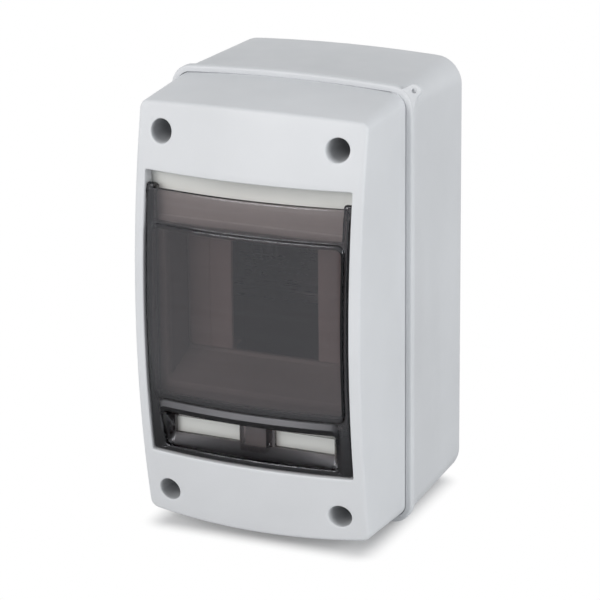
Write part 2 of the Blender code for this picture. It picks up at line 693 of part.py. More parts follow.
def make_module_frame():
    panel_back = PANEL_Y + FRAME_PLATE
    flange_low = (-FRAME_X, LEDGE_Y, FRAME_BOTTOM)
    flange_high = (FRAME_X, LEDGE_Y + FRAME_PLATE, FRAME_TOP)
    frame = add_part("module_frame", block("module_frame", flange_low, flange_high), FRAME_GREY)
    hopper = loft("hopper", [
        recess_ring(LEDGE_Y + FRAME_PLATE / 2, RECESS_X + FRAME_PLATE, MOUTH_Z + FRAME_PLATE),
        recess_ring(panel_back, RECESS_X + FRAME_PLATE, FOOT_Z + FRAME_PLATE),
    ])
    bead = loft("bead", [
        recess_ring(LEDGE_Y + FRAME_PLATE / 2, RECESS_X + BEAD_WIDTH, MOUTH_Z + BEAD_WIDTH),
        recess_ring(LEDGE_Y - BEAD_HEIGHT, RECESS_X + BEAD_WIDTH, MOUTH_Z + BEAD_WIDTH),
    ])
    recess = loft("recess", [
        recess_ring(LEDGE_Y - OVERCUT, RECESS_X, MOUTH_Z),
        recess_ring(LEDGE_Y, RECESS_X, MOUTH_Z),
        recess_ring(PANEL_Y, RECESS_X, FOOT_Z),
    ])
    window = block(
        "window",
        (-WINDOW_X, PANEL_Y - OVERCUT, RAIL_Z - WINDOW_HEIGHT / 2),
        (WINDOW_X, panel_back + OVERCUT, RAIL_Z + WINDOW_HEIGHT / 2),
    )
    join(frame, add_cutter("hopper", hopper), add_cutter("bead", bead))
    cut(frame, add_cutter("recess", recess), add_cutter("window", window))
    for side, right in (("left", -1), ("right", 1)):
        start, end = right * (DOOR_X - EAR_WIDTH - DOOR_GAP), right * OPENING_X
        room = rod("ear_room", EAR_RADIUS + FIT_GAP, (start, HINGE_Y, HINGE_Z), (end, HINGE_Y, HINGE_Z))
        cut(frame, add_cutter("ear_room_" + side, room))
    return frame


def make_blank(side, right):
    """A snap-in blank: a scored front plate with a barbed leg behind its top and its bottom edge."""
    half = WINDOW_HEIGHT / 2 - FIT_GAP
    front = PANEL_Y
    catch = PANEL_Y + FRAME_PLATE + FIT_GAP
    back = PANEL_Y + BLANK_LEG
    inner = half - BLANK_PLATE
    upper = [
        (front, half), (catch, half), (catch, half + BLANK_BARB), (back, half - BLANK_PLATE / 2),
        (back, inner), (front + BLANK_PLATE, inner),
    ]
    profile = upper + [(y, -z) for y, z in reversed(upper)]
    near = WINDOW_X - FIT_GAP
    far = WINDOW_X - BLANK_MODULES * MODULE_WIDTH
    left, end = sorted((right * near, right * far))
    drawn = extrusion("blank_" + side, [(y, RAIL_Z + z) for y, z in profile], left, end)
    blank = add_part("blank_" + side, drawn, BLANK_GREY)
    score_x = right * (WINDOW_X - MODULE_WIDTH / 2)
    score = block(
        "score",
        (score_x - SCORE_WIDTH / 2, front - OVERCUT, RAIL_Z - half - OVERCUT),
        (score_x + SCORE_WIDTH / 2, front + SCORE_DEPTH, RAIL_Z + half + OVERCUT),
    )
    cut(blank, add_cutter("score_" + side, score))
    return blank


def raised_pane():
    """The door's clear pane, proud of the bands above and below it, with rounded corners."""
    pane_x = DOOR_X - PANE_SIDE
    middle_z = (PANE_TOP + PANE_BOTTOM) / 2
    pane = add_cutter("pane", domed_block(
        "pane", (-DOOR_X, PANE_BOTTOM - OVERCUT), (DOOR_X, PANE_TOP + OVERCUT), 0.0, HINGE_Y
    ))
    points = outline(pane_x, (PANE_TOP - PANE_BOTTOM) / 2, 0.0, PANE_CORNER)
    raised = [(x, z + middle_z) for x, z in points]
    border = loft("pane_border", [level(raised, APEX_Y - OVERCUT), level(raised, HINGE_Y - FIT_GAP)])
    boolean(pane, "INTERSECT", add_cutter("pane_border", border))
    return pane


def make_door():
    shell = domed_block("door", (-DOOR_X, DOOR_BOTTOM), (DOOR_X, DOOR_TOP), BAND_SINK, DOOR_BACK_Y)
    door = add_part("door", shell, SMOKED)
    join(door, raised_pane())

    inner_x = DOOR_X - DOOR_WALL
    hollow = add_cutter("door_hollow", domed_block(
        "door_hollow",
        (-inner_x, DOOR_BOTTOM + DOOR_WALL),
        (inner_x, DOOR_TOP - DOOR_WALL),
        BAND_SINK + DOOR_FRONT,
        LEDGE_Y + OVERCUT,
    ))
    pane_hollow = add_cutter("pane_hollow", domed_block(
        "pane_hollow",
        (-inner_x + PANE_SIDE, PANE_BOTTOM + DOOR_WALL),
        (inner_x - PANE_SIDE, PANE_TOP - DOOR_WALL),
        DOOR_FRONT,
        LEDGE_Y,
    ))
    outside = POCKET_X + POCKET_WALL
    ahead = APEX_Y - OVERCUT
    walls = block(
        "pocket_walls",
        (-outside, ahead, DOOR_BOTTOM),
        (outside, LEDGE_Y + 2 * OVERCUT, POCKET_TOP + POCKET_WALL),
    )
    cut(hollow, add_cutter("pocket_walls", walls))
    cut(door, hollow, pane_hollow)

    back = DOOR_BACK_Y - POCKET_WALL
    front_ring = [(-1, POCKET_BOTTOM), (1, POCKET_BOTTOM), (1, POCKET_TOP), (-1, POCKET_TOP)]
    sloped_floor = POCKET_BOTTOM + POCKET_SLOPE
    back_ring = [(-1, sloped_floor), (1, sloped_floor), (1, POCKET_TOP), (-1, POCKET_TOP)]
    pocket = add_cutter("pocket", loft("pocket", [
        [(side * POCKET_X, ahead, z) for side, z in front_ring],
        [(side * POCKET_X, HINGE_Y, z) for side, z in front_ring],
        [(side * POCKET_X, back, z) for side, z in back_ring],
    ]))
    half_block = POCKET_BLOCK / 2
    block_edges = [(-1, POCKET_BOTTOM), (1, POCKET_BOTTOM), (1, POCKET_TOP + OVERCUT), (-1, POCKET_TOP + OVERCUT)]
    kept = loft("pocket_block", [
        [(side * half_width, y, z) for side, z in block_edges]
        for half_width, y in (
            (half_block - POCKET_BLOCK_TAPER, back - POCKET_BLOCK_HEIGHT),
            (half_block, back),
            (half_block, LEDGE_Y),
        )
    ])
    cut(pocket, add_cutter("pocket_block", kept))
    cut(door, pocket)
    for side, right in (("left", -1), ("right", 1)):
        near, far = sorted((right * half_block, right * (POCKET_X - FINGER_SIDE)))
        finger = block("finger", (near, back - FIT_GAP, sloped_floor), (far, LEDGE_Y, FINGER_TOP))
        cut(door, add_cutter("finger_window_" + side, finger))
        inner, outer = sorted((right * (DOOR_X - EAR_WIDTH), right * DOOR_X))
        ear = rod("ear", EAR_RADIUS, (inner, HINGE_Y, HINGE_Z), (outer, HINGE_Y, HINGE_Z))
        root, tip = right * (DOOR_X - EAR_WIDTH / 2), right * (DOOR_X + STUD_LENGTH)
        stud = rod("stud", STUD / 2, (root, HINGE_Y, HINGE_Z), (tip, HINGE_Y, HINGE_Z))
        join(door, add_cutter("ear_" + side, ear), add_cutter("stud_" + side, stud))
    set_origin(door, (0.0, HINGE_Y, HINGE_Z))
    return door


def make_cover_screw(corner, right, up):
    """A captive screw with a slotted head on its sealing ring; its plain shank goes into the pillar."""
    head = SCREW_HEAD / 2
    shank = SCREW_SHANK / 2
    under_head = SEAL_CORD + 2 * FIT_GAP
    top = under_head + SCREW_HEAD_HEIGHT
    chamfer = SCREW_SLOT / 2
    end = -(SEAT_THICKNESS + FIT_GAP + SCREW_REACH)
    profile = [
        (0.0, top), (head - chamfer, top), (head, top - chamfer), (head, under_head), (shank, under_head),
        (shank, end + chamfer), (shank - chamfer, end), (0.0, end),
    ]
    place = (right * SCREW_X, SEAT_Y, up * SCREW_Z)
    screw = turned("cover_screw_" + corner, profile, place, SCREW_GREY, ROUND_STEPS)
    slot = block(
        "slot",
        (place[0] - SCREW_HEAD, SEAT_Y - top - OVERCUT, place[2] - SCREW_SLOT / 2),
        (place[0] + SCREW_HEAD, SEAT_Y - top + SCREW_HEAD_HEIGHT / 2, place[2] + SCREW_SLOT / 2),
    )
    cut(screw, add_cutter("slot_" + corner, slot))
    return screw


def make_screw_seal(corner, right, up):
    half = SEAL_CORD / 2
    middle = SCREW_SHANK / 2 + FIT_GAP + half
    turns = [-2 * math.pi * step / CORD_STEPS for step in range(CORD_STEPS)]
    profile = [(middle + half * math.cos(turn), FIT_GAP + half * (1 + math.sin(turn))) for turn in turns]
    place = (right * SCREW_X, SEAT_Y, up * SCREW_Z)
    return turned("screw_seal_" + corner, profile, place, SEAL_BLACK, closed=True)


def make_rail():
    """A top-hat rail: brims to the front, web on the bosses, with a slot for each screw."""
    half = RAIL_HEIGHT / 2
    hat = half - RAIL_BRIM
    back = RAIL_Y + RAIL_DEPTH
    upper = [
        (back, hat), (RAIL_Y + RAIL_SHEET, hat), (RAIL_Y + RAIL_SHEET, half), (RAIL_Y, half),
        (RAIL_Y, hat - RAIL_SHEET), (back - RAIL_SHEET, hat - RAIL_SHEET),
    ]
    profile = upper + [(y, -z) for y, z in reversed(upper)]
    hat_shape = [(y, RAIL_Z + z) for y, z in profile]
    drawn = extrusion("din_rail", hat_shape, -RAIL_X, RAIL_X)
    rail = add_part("din_rail", drawn, ZINC)
    half_slot = RAIL_SCREW_SHANK / 2 + FIT_GAP
    straight = RAIL_SLOT_LENGTH / 2 - half_slot
    for side, x in (("left", -RAIL_SCREW_X), ("right", RAIL_SCREW_X)):
        low = (x - straight, back - RAIL_DEPTH / 2, RAIL_Z - half_slot)
        high = (x + straight, back + OVERCUT, RAIL_Z + half_slot)
        slot = add_cutter("rail_slot_" + side, block("rail_slot", low, high))
        for end, out in (("in", -straight), ("out", straight)):
            tip = post("slot_end", half_slot, x + out, RAIL_Z, low[1], high[1], SMALL_STEPS)
            join(slot, add_cutter("slot_end_" + side + "_" + end, tip))
        cut(rail, slot)
    return rail


def pan_head(head, height, shank, reach):
    """Profile of a plain pan-headed screw above its seat."""
    edge = height / 3
    return [
        (0.0, height), (head / 2 - edge, height), (head / 2, height - edge), (head / 2, FIT_GAP),
        (shank / 2, FIT_GAP), (shank / 2, -reach), (0.0, -reach),
    ]


def make_rail_screw(side, x):
    profile = pan_head(RAIL_SCREW_HEAD, RAIL_SCREW_HEAD_HEIGHT, RAIL_SCREW_SHANK, RAIL_SCREW_REACH)
    return turned("rail_screw_" + side, profile, (x, RAIL_WEB_Y, RAIL_Z), ZINC)


def make_strip(name, z):
    """A terminal strip: an insulating holder on two posts, its bar between two cheeks, and clamp screws."""
    half = STRIP_LENGTH / 2
    half_height = STRIP_HEIGHT / 2
    seat = -BOX_FLOOR - STRIP_STANDOFF - FIT_GAP
    plate_front = seat - STRIP_PLATE
    bar_back = plate_front - FIT_GAP
    bar_front = bar_back - BAR_DEPTH
    cheek_front = bar_front + BAR_DEPTH / 3
    plate = block(name, (-half, plate_front, z - half_height), (half, seat, z + half_height))
    holder = add_part(name + "_holder", plate, HOLDER_IVORY)
    for side, right in (("left", -1), ("right", 1)):
        near, far = sorted((right * half, right * (half - STRIP_CHEEK)))
        middle = (plate_front + seat) / 2
        cheek = block("cheek", (near, cheek_front, z - half_height), (far, middle, z + half_height))
        join(holder, add_cutter(name + "_cheek_" + side, cheek))
        wide = STRIP_PIN / 2 + FIT_GAP
        ahead, behind = plate_front - OVERCUT, seat + OVERCUT
        socket = post("socket", wide, right * STRIP_POST_X, z, ahead, behind, SMALL_STEPS)
        cut(holder, add_cutter(name + "_socket_" + side, socket))

    bar_end = half - STRIP_CHEEK - FIT_GAP
    low = (-bar_end, bar_front, z - BAR_HEIGHT / 2)
    high = (bar_end, bar_back, z + BAR_HEIGHT / 2)
    bar = add_part(name + "_bar", block(name + "_bar", low, high), BRASS)
    screws = []
    first = -BAR_PITCH * (BAR_SCREWS - 1) / 2
    reach = BAR_DEPTH / 3
    for number in range(BAR_SCREWS):
        x = first + number * BAR_PITCH
        wire_y = bar_front + 2 * reach
        ahead = bar_front - OVERCUT
        tapped = post("tapped", BAR_SCREW_SHANK / 2 + FIT_GAP, x, z, ahead, wire_y, SMALL_STEPS)
        below, above = (x, wire_y, z - BAR_HEIGHT), (x, wire_y, z + BAR_HEIGHT)
        wire = rod("wire_hole", BAR_WIRE_HOLE / 2, below, above, SMALL_STEPS)
        label = "%s_%d" % (name, number + 1)
        cut(bar, add_cutter("tapped_" + label, tapped), add_cutter("wire_hole_" + label, wire))
        profile = pan_head(BAR_SCREW_HEAD, BAR_SCREW_HEAD_HEIGHT, BAR_SCREW_SHANK, reach)
        screws.append(turned(name + "_screw_%d" % (number + 1), profile, (x, bar_front, z), ZINC))
    return [holder, bar] + screws


def make_fixing_cap(corner, right, up):
    disc = CAP_DISC / 2
    plug = FIXING_SINK / 2 - FIT_GAP
    edge = CAP_THICKNESS / 2
    profile = [
        (0.0, CAP_THICKNESS), (disc - edge, CAP_THICKNESS), (disc, edge), (disc, FIT_GAP),
        (plug, FIT_GAP), (plug, -CAP_PLUG_DEPTH), (0.0, -CAP_PLUG_DEPTH),
    ]
    place = (right * FIXING_X, -BOX_FLOOR - FIXING_BOSS_HEIGHT, up * FIXING_Z)
    return turned("fixing_cap_" + corner, profile, place, CAP_GREY, ROUND_STEPS)


def main():
    make_back_box()
    make_gasket()
    cover_slide = joint_empty("cover_slide", (0.0, RIM_Y, 0.0))
    hinge = joint_empty("door_hinge", (0.0, HINGE_Y, HINGE_Z))
    carried_by(hinge, make_door())
    carried_by(cover_slide, make_cover(), make_module_frame(), hinge)
    for side, right in (("left", -1), ("right", 1)):
        carried_by(cover_slide, make_blank(side, right))
        make_rail_screw(side, right * RAIL_SCREW_X)
    for corner, (right, up) in CORNERS.items():
        carried_by(cover_slide, make_cover_screw(corner, right, up), make_screw_seal(corner, right, up))
        make_fixing_cap(corner, right, up)
    make_rail()
    for name, z in STRIPS.items():
        make_strip(name, z)


main()
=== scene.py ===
import json
import math

import bmesh
import bpy
from mathutils import Matrix, Vector


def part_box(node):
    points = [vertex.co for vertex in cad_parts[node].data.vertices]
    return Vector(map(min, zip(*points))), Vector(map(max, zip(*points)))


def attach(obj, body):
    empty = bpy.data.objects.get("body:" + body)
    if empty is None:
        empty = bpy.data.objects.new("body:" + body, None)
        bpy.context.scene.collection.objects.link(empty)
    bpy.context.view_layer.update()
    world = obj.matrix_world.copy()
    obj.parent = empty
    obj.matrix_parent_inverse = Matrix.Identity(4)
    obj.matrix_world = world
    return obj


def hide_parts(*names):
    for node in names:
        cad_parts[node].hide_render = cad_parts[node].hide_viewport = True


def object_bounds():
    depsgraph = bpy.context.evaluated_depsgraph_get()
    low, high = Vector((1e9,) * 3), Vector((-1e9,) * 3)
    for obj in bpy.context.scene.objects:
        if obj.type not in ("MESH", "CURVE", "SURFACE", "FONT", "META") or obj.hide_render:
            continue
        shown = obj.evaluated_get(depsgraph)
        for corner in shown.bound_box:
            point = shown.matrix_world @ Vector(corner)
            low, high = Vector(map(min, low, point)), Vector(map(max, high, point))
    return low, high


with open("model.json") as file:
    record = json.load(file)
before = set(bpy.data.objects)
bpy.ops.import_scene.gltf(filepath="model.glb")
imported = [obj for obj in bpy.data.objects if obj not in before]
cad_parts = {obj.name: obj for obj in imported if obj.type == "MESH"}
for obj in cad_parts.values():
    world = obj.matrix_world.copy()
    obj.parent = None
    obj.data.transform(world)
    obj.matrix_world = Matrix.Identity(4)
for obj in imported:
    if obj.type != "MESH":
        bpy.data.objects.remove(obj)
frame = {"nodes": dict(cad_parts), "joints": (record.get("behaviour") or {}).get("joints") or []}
cadBox = [list(corner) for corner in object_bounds()]
nodes = frame["nodes"]
mm = 0.001
corners = {"top_left": (-1, 1), "top_right": (1, 1), "bottom_left": (-1, -1), "bottom_right": (1, -1)}
sides = {"left": -1, "right": 1}
print("frame loaded:", len(nodes), "nodes")


def addObject(name, data):
    made = bpy.data.objects.new(name, data)
    bpy.context.scene.collection.objects.link(made)
    return made


# Shader nodes

def feed(tree, node, inputs):
    # plain values and links into a node's sockets
    for key, value in inputs.items():
        if isinstance(value, bpy.types.NodeSocket):
            tree.links.new(value, node.inputs[key])
        else:
            node.inputs[key].default_value = value


def put(tree, kind, inputs=None, **settings):
    node = tree.nodes.new("ShaderNode" + kind)
    for key, value in settings.items():
        setattr(node, key, value)
    feed(tree, node, inputs or {})
    return node


def maths(tree, operation, *values):
    return put(tree, "Math", dict(enumerate(values)), operation=operation).outputs[0]


def vectorMaths(tree, operation, *values):
    return put(tree, "VectorMath", dict(enumerate(values)), operation=operation).outputs[0]


def lengthOf(tree, vector):
    return put(tree, "VectorMath", {0: vector}, operation="LENGTH").outputs["Value"]


def scaled(tree, colour, by):
    return put(tree, "VectorMath", {0: colour, "Scale": by}, operation="SCALE").outputs[0]


def ramp(tree, value, low, high, start=0.0, end=1.0, **settings):
    # takes a value from one range to another
    return put(tree, "MapRange", {0: value, 1: low, 2: high, 3: start, 4: end}, **settings).outputs[0]


def blended(tree, share, one, other):
    return put(tree, "Mix", {0: share, 6: one, 7: other}, data_type="RGBA").outputs[2]


def objectPlace(tree):
    return put(tree, "TexCoord").outputs["Object"]


def objectAxes(tree):
    return put(tree, "SeparateXYZ", {0: objectPlace(tree)}).outputs


def newMaterial(name):
    material = bpy.data.materials.new(name)
    material.use_nodes = True
    tree = material.node_tree
    return material, tree, tree.nodes["Principled BSDF"], tree.nodes["Material Output"]


# Camera, floor and light

view = {
    "aim": (0.0, -56.0, 0.0),      # mm, middle of the joint between cover and box
    "distance": 1163.4,
    "azimuth": 24.389,
    "elevation": 18.570,
    "roll": -0.662,
    "lens": 181.18,
    "sensor": 36.0,
    "shift": (0.0134, -0.0067),
    "reach": 20.0,                 # metres
}


def placeCamera():
    turned, rise, roll = (math.radians(view[key]) for key in ("azimuth", "elevation", "roll"))
    back = Vector((math.sin(turned) * math.cos(rise), -math.cos(turned) * math.cos(rise), math.sin(rise)))
    right = Vector((math.cos(turned), math.sin(turned), 0.0))
    up = back.cross(right)
    rolledRight = right * math.cos(roll) + up * math.sin(roll)
    rolledUp = up * math.cos(roll) - right * math.sin(roll)
    data = bpy.data.cameras.new("photoCamera")
    data.lens = view["lens"]
    data.sensor_width = view["sensor"]
    data.shift_x, data.shift_y = view["shift"]
    data.clip_end = view["reach"]
    camera = addObject("photoCamera", data)
    spot = Vector(view["aim"]) * mm + back * view["distance"] * mm
    facing = Matrix((rolledRight, rolledUp, back)).transposed().to_4x4()
    camera.matrix_world = Matrix.Translation(spot) @ facing
    bpy.context.scene.camera = camera


studio = {
    "world": 0.46,
    "worldColour": (0.94, 0.97, 1.0),
    "floorSize": 3.0,
    "floorGap": 0.0002,            # below the object
    "floorColour": (0.80, 0.80, 0.80),
    "floorRough": 0.9,
    "floorGloss": 0.1,
    # where the object stands: middle and half size
    "foot": ((-0.0006, -0.0460), (0.0393, 0.0385)),
    # the floor's own shade fades out over this distance, and how much of it shows
    "footShade": (0.012, 0.88),
    # the floor that mirrors see fades to the right and behind, down to this share
    "mirrored": ((0.03, 0.10), (-0.20, -0.12), 0.30),
    "lamps": {                     # place in metres, size in metres, watts, colour
        "leftLamp": ((-1.50, -0.70, 0.60), 1.1, 4.0, (1.0, 1.0, 1.0)),
        "frontLamp": ((-0.60, -1.60, 0.80), 1.1, 14.2, (1.0, 0.97, 0.95)),
        "rightLamp": ((1.70, -0.34, 0.45), 1.1, 14.0, (1.0, 1.0, 1.0)),
    },
}
white = (1.0, 1.0, 1.0, 1.0)


def whiteRays(tree):
    # camera, glossy and transmitted rays, which see the plain white backdrop
    rays = put(tree, "LightPath").outputs
    seen = maths(tree, "MAXIMUM", rays["Is Camera Ray"], rays["Is Glossy Ray"])
    return maths(tree, "MAXIMUM", seen, rays["Is Transmission Ray"])


def lightWorld():
    world = bpy.data.worlds.new("studioWorld")
    bpy.context.scene.world = world
    world.use_nodes = True
    tree = world.node_tree
    tree.nodes.clear()
    lit = put(tree, "Background", {"Color": (*studio["worldColour"], 1.0), "Strength": studio["world"]})
    plain = put(tree, "Background", {"Color": white})
    both = put(tree, "MixShader", {0: whiteRays(tree), 1: lit.outputs[0], 2: plain.outputs[0]})
    put(tree, "OutputWorld", {"Surface": both.outputs[0]})


def hangLamps():
    for name, (place, size, power, colour) in studio["lamps"].items():
        data = bpy.data.lights.new(name, "AREA")
        data.shape = "DISK"
        data.size = size
        data.energy = power
        data.color = colour
        lamp = addObject(name, data)
        lamp.location = place
        aim = Vector(view["aim"]) * mm - Vector(place)
        lamp.rotation_euler = aim.to_track_quat("-Z", "Y").to_euler()


def awayFromFoot(tree):
    # rises to one away from where the object stands
    middle, half = studio["foot"]
    far, most = studio["footShade"]
    where = vectorMaths(tree, "SUBTRACT", objectPlace(tree), (*middle, 0.0))
    where = vectorMaths(tree, "ABSOLUTE", where)
    where = vectorMaths(tree, "SUBTRACT", where, (*half, 1.0))
    where = vectorMaths(tree, "MAXIMUM", where, (0.0, 0.0, 0.0))
    return ramp(tree, lengthOf(tree, where), 0.0, far, 1.0 - most, 1.0, interpolation_type="SMOOTHSTEP")


def mirroredShare(tree):
    # glossy rays see the white floor at the front left, and less of it to the right and behind
    (left, right), (front, back), least = studio["mirrored"]
    where = objectAxes(tree)
    across = ramp(tree, where["X"], left, right, 1.0, 0.0)
    ahead = ramp(tree, where["Y"], front, back, 1.0, 0.0)
    less = ramp(tree, maths(tree, "MULTIPLY", across, ahead), 0.0, 1.0, least - 1.0, 0.0)
    glossy = put(tree, "LightPath").outputs["Is Glossy Ray"]
    return maths(tree, "MULTIPLY_ADD", glossy, less, 1.0)


def layFloor():
    bm = bmesh.new()
    bmesh.ops.create_grid(bm, x_segments=1, y_segments=1, size=studio["floorSize"] / 2)
    bmesh.ops.translate(bm, verts=bm.verts, vec=(0, 0, cadBox[0][2] - studio["floorGap"]))
    mesh = bpy.data.meshes.new("studioFloor")
    bm.to_mesh(mesh)
    bm.free()
    floor = addObject("studioFloor", mesh)
    material, tree, shader, out = newMaterial("studioFloor")
    feed(tree, shader, {
        "Base Color": (*studio["floorColour"], 1.0),
        "Roughness": studio["floorRough"],
        "Specular IOR Level": studio["floorGloss"],
    })
    plain = put(tree, "Emission", {"Color": white, "Strength": mirroredShare(tree)})
    share = maths(tree, "MULTIPLY", whiteRays(tree), awayFromFoot(tree))
    both = put(tree, "MixShader", {0: share, 1: shader.outputs[0], 2: plain.outputs[0]})
    feed(tree, out, {"Surface": both.outputs[0]})
    mesh.materials.append(material)


bpy.context.scene.view_settings.view_transform = "Standard"
placeCamera()
lightWorld()
hangLamps()
layFloor()
print("camera, floor and light placed")


# Finishes

finishes = {
    # colour, roughness and its spread, grain per metre and its depth in metres, tone of the mottle
    "shellPlastic": ((0.66, 0.675, 0.695), 0.46, 0.10, 1700.0, 9e-6, 0.030),
    "framePlastic": ((0.785, 0.80, 0.775), 0.45, 0.12, 1500.0, 9e-6, 0.045),
    "blankPlastic": ((0.97, 0.93, 0.90), 0.45, 0.10, 1900.0, 8e-6, 0.040),
    "screwPlastic": ((0.22, 0.225, 0.235), 0.48, 0.14, 2200.0, 8e-6, 0.080),
    "capPlastic": ((0.40, 0.41, 0.42), 0.46, 0.12, 2000.0, 9e-6, 0.060),
    "holderPlastic": ((0.74, 0.70, 0.58), 0.38, 0.10, 1500.0, 8e-6, 0.050),
    "sealRubber": ((0.022, 0.022, 0.023), 0.66, 0.16, 1100.0, 3e-5, 0.250),
}
metals = {
    # colour, dull colour and its share, roughness, lines per metre across the drawing and their depth
    "zincPlate": ((0.74, 0.76, 0.78), (0.50, 0.53, 0.57), 0.45, 0.26, 1600.0, 6e-6),
    "barBrass": ((0.80, 0.58, 0.25), (0.48, 0.30, 0.11), 0.40, 0.24, 1300.0, 8e-6),
}


def newSkin(name, inputs):
    # a group that puts out a colour, a roughness and a height
    group = bpy.data.node_groups.new(name, "ShaderNodeTree")
    kinds = {"Colour": "NodeSocketColor", "Dull Colour": "NodeSocketColor"}
    for way, labels in (("INPUT", inputs), ("OUTPUT", ("Colour", "Rough", "Height"))):
        for label in labels:
            group.interface.new_socket(label, in_out=way, socket_type=kinds.get(label, "NodeSocketFloat"))
    return group, group.nodes.new("NodeGroupInput").outputs, group.nodes.new("NodeGroupOutput")


def objectNoise(tree, scale, detail, stretch=None):
    where = objectPlace(tree)
    if stretch:
        where = put(tree, "Mapping", {"Vector": where, "Scale": stretch}).outputs[0]
    return put(tree, "TexNoise", {"Vector": where, "Scale": scale, "Detail": detail}).outputs[0]


def spreadOf(tree, value, low, high):
    # noise lies mostly between 0.3 and 0.7
    return ramp(tree, value, 0.3, 0.7, low, high)


def mouldedSkin():
    # fine spark grain, broad mottle with dust specks, and drawn-out flow marks
    group, given, result = newSkin("mouldedSkin", ("Colour", "Rough", "Spread", "Grain", "Tone"))
    mottle = spreadOf(group, objectNoise(group, 26.0, 4.0), -1.0, 1.0)
    specks = put(group, "TexVoronoi", {"Vector": objectPlace(group), "Scale": 420.0}).outputs["Distance"]
    shade = maths(group, "ADD", mottle, ramp(group, specks, 0.03, 0.10, -1.2, 0.0))
    shade = maths(group, "MULTIPLY_ADD", shade, given["Tone"], 1.0)
    flow = spreadOf(group, objectNoise(group, 1.0, 4.0, (90.0, 90.0, 14.0)), -0.5, 0.5)
    feed(group, result, {
        "Colour": scaled(group, given["Colour"], shade),
        "Rough": maths(group, "MULTIPLY_ADD", flow, given["Spread"], given["Rough"]),
        "Height": objectNoise(group, given["Grain"], 3.0),
    })
    return group


def drawnSkin():
    # lines along X from drawing, and duller patches
    group, given, result = newSkin("drawnSkin", ("Colour", "Dull Colour", "Share", "Rough", "Lines"))
    lines = objectNoise(group, given["Lines"], 3.0, (0.02, 1.0, 1.0))
    patches = spreadOf(group, objectNoise(group, 180.0, 5.0), 0.0, 1.0)
    share = maths(group, "MULTIPLY", patches, given["Share"])
    rough = maths(group, "ADD", spreadOf(group, lines, -0.06, 0.06), given["Rough"])
    feed(group, result, {
        "Colour": blended(group, share, given["Colour"], given["Dull Colour"]),
        "Rough": maths(group, "MULTIPLY_ADD", share, 0.22, rough),
        "Height": lines,
    })
    return group


mouldedGroup, drawnGroup = mouldedSkin(), drawnSkin()


def skinned(name, group, values, depth, metal):
    # a material whose colour, roughness and bump come from a skin
    material, tree, shader, _ = newMaterial(name)
    skin = put(tree, "Group", values, node_tree=group).outputs
    relief = put(tree, "Bump", {"Height": skin["Height"], "Distance": depth, "Strength": 1.0})
    feed(tree, shader, {
        "Metallic": metal,
        "Base Color": skin["Colour"],
        "Roughness": skin["Rough"],
        "Normal": relief.outputs[0],
    })
    return material


def mouldedPlastic(name):
    colour, rough, spread, grain, depth, tone = finishes[name]
    values = {"Colour": (*colour, 1.0), "Rough": rough, "Spread": spread, "Grain": grain, "Tone": tone}
    return skinned(name, mouldedGroup, values, depth, 0.0)


def drawnMetal(name):
    colour, dull, share, rough, lines, depth = metals[name]
    values = {"Colour": (*colour, 1.0), "Dull Colour": (*dull, 1.0), "Share": share}
    values.update({"Rough": rough, "Lines": lines})
    return skinned(name, drawnGroup, values, depth, 1.0)


# painted shade on the side walls of the frame's recess and in the screw holes down to their seats: places in
# mm, where the painted shade sets in and ends, and the share of the colour that is left
recessPaintedShade = {
    "half": (36.2, 36.4),
    "front": (-89.5, -85.0),
    "share": 0.52,
}
borePaintedShade = {
    "place": (35.7, 71.7),
    "radius": (4.7, 4.9),
    "front": (-93.6, -90.0),
    "seat": (-59.0, -58.5),
    "share": 0.68,
}


def recessShade(tree, where):
    # painted shade: the recess's side walls are coloured a little darker than the rest, where shade falls
    low, high = (edge * mm for edge in recessPaintedShade["half"])
    return ramp(tree, maths(tree, "ABSOLUTE", where["X"]), low, high), recessPaintedShade


def boreShade(tree, where):
    # painted shade too: the deep screw holes are coloured darker down to their seats, where shade falls
    away = []
    for axis, middle in zip("XZ", borePaintedShade["place"]):
        away.append(maths(tree, "SUBTRACT", maths(tree, "ABSOLUTE", where[axis]), middle * mm))
    away = put(tree, "CombineXYZ", {"X": away[0], "Z": away[1]}).outputs[0]
    low, high = (edge * mm for edge in borePaintedShade["radius"])
    inside = ramp(tree, lengthOf(tree, away), low, high, 1.0, 0.0)
    seat, end = (place * mm for place in borePaintedShade["seat"])
    return maths(tree, "MULTIPLY", inside, ramp(tree, where["Y"], seat, end, 1.0, 0.0)), borePaintedShade


def shadedPlastic(name, shade):
    # a moulded plastic with painted shade where a mask says so, setting in over a depth
    material = mouldedPlastic(name)
    tree = material.node_tree
    where = objectAxes(tree)
    paintedShadeMask, paintedShadeZone = shade(tree, where)
    front, back = (edge * mm for edge in paintedShadeZone["front"])
    paintedShadeMask = maths(tree, "MULTIPLY", paintedShadeMask, ramp(tree, where["Y"], front, back))
    left = ramp(tree, paintedShadeMask, 0.0, 1.0, 1.0, paintedShadeZone["share"])
    base = tree.nodes["Principled BSDF"].inputs["Base Color"]
    tree.links.new(scaled(tree, base.links[0].from_socket, left), base)
    return material


smoke = {
    "colour": (0.09, 0.0, 0.01),     # what the smoke lets through more easily
    "density": 700.0,
    "index": 1.64,
    "sheen": (0.91, 0.93, 1.0),
    "streak": (0.95, 0.93, 0.92),    # flow streaks from the moulding
    "rough": (0.02, 0.05),
    # etched brow and floor of the pocket: half width, low and high in mm, and roughness
    "etched": ((36.8, -38.4, -33.2, 0.34), (33.2, -52.0, -48.3, 0.45)),
    "etchFade": (0.5, 0.4),
    "wave": 1e-6,
}


def within(tree, value, low, high, fade):
    # one between two places in mm, fading to nothing outside
    rise = ramp(tree, value, (low - fade) * mm, low * mm)
    fall = ramp(tree, value, high * mm, (high + fade) * mm, 1.0, 0.0)
    return maths(tree, "MULTIPLY", rise, fall)


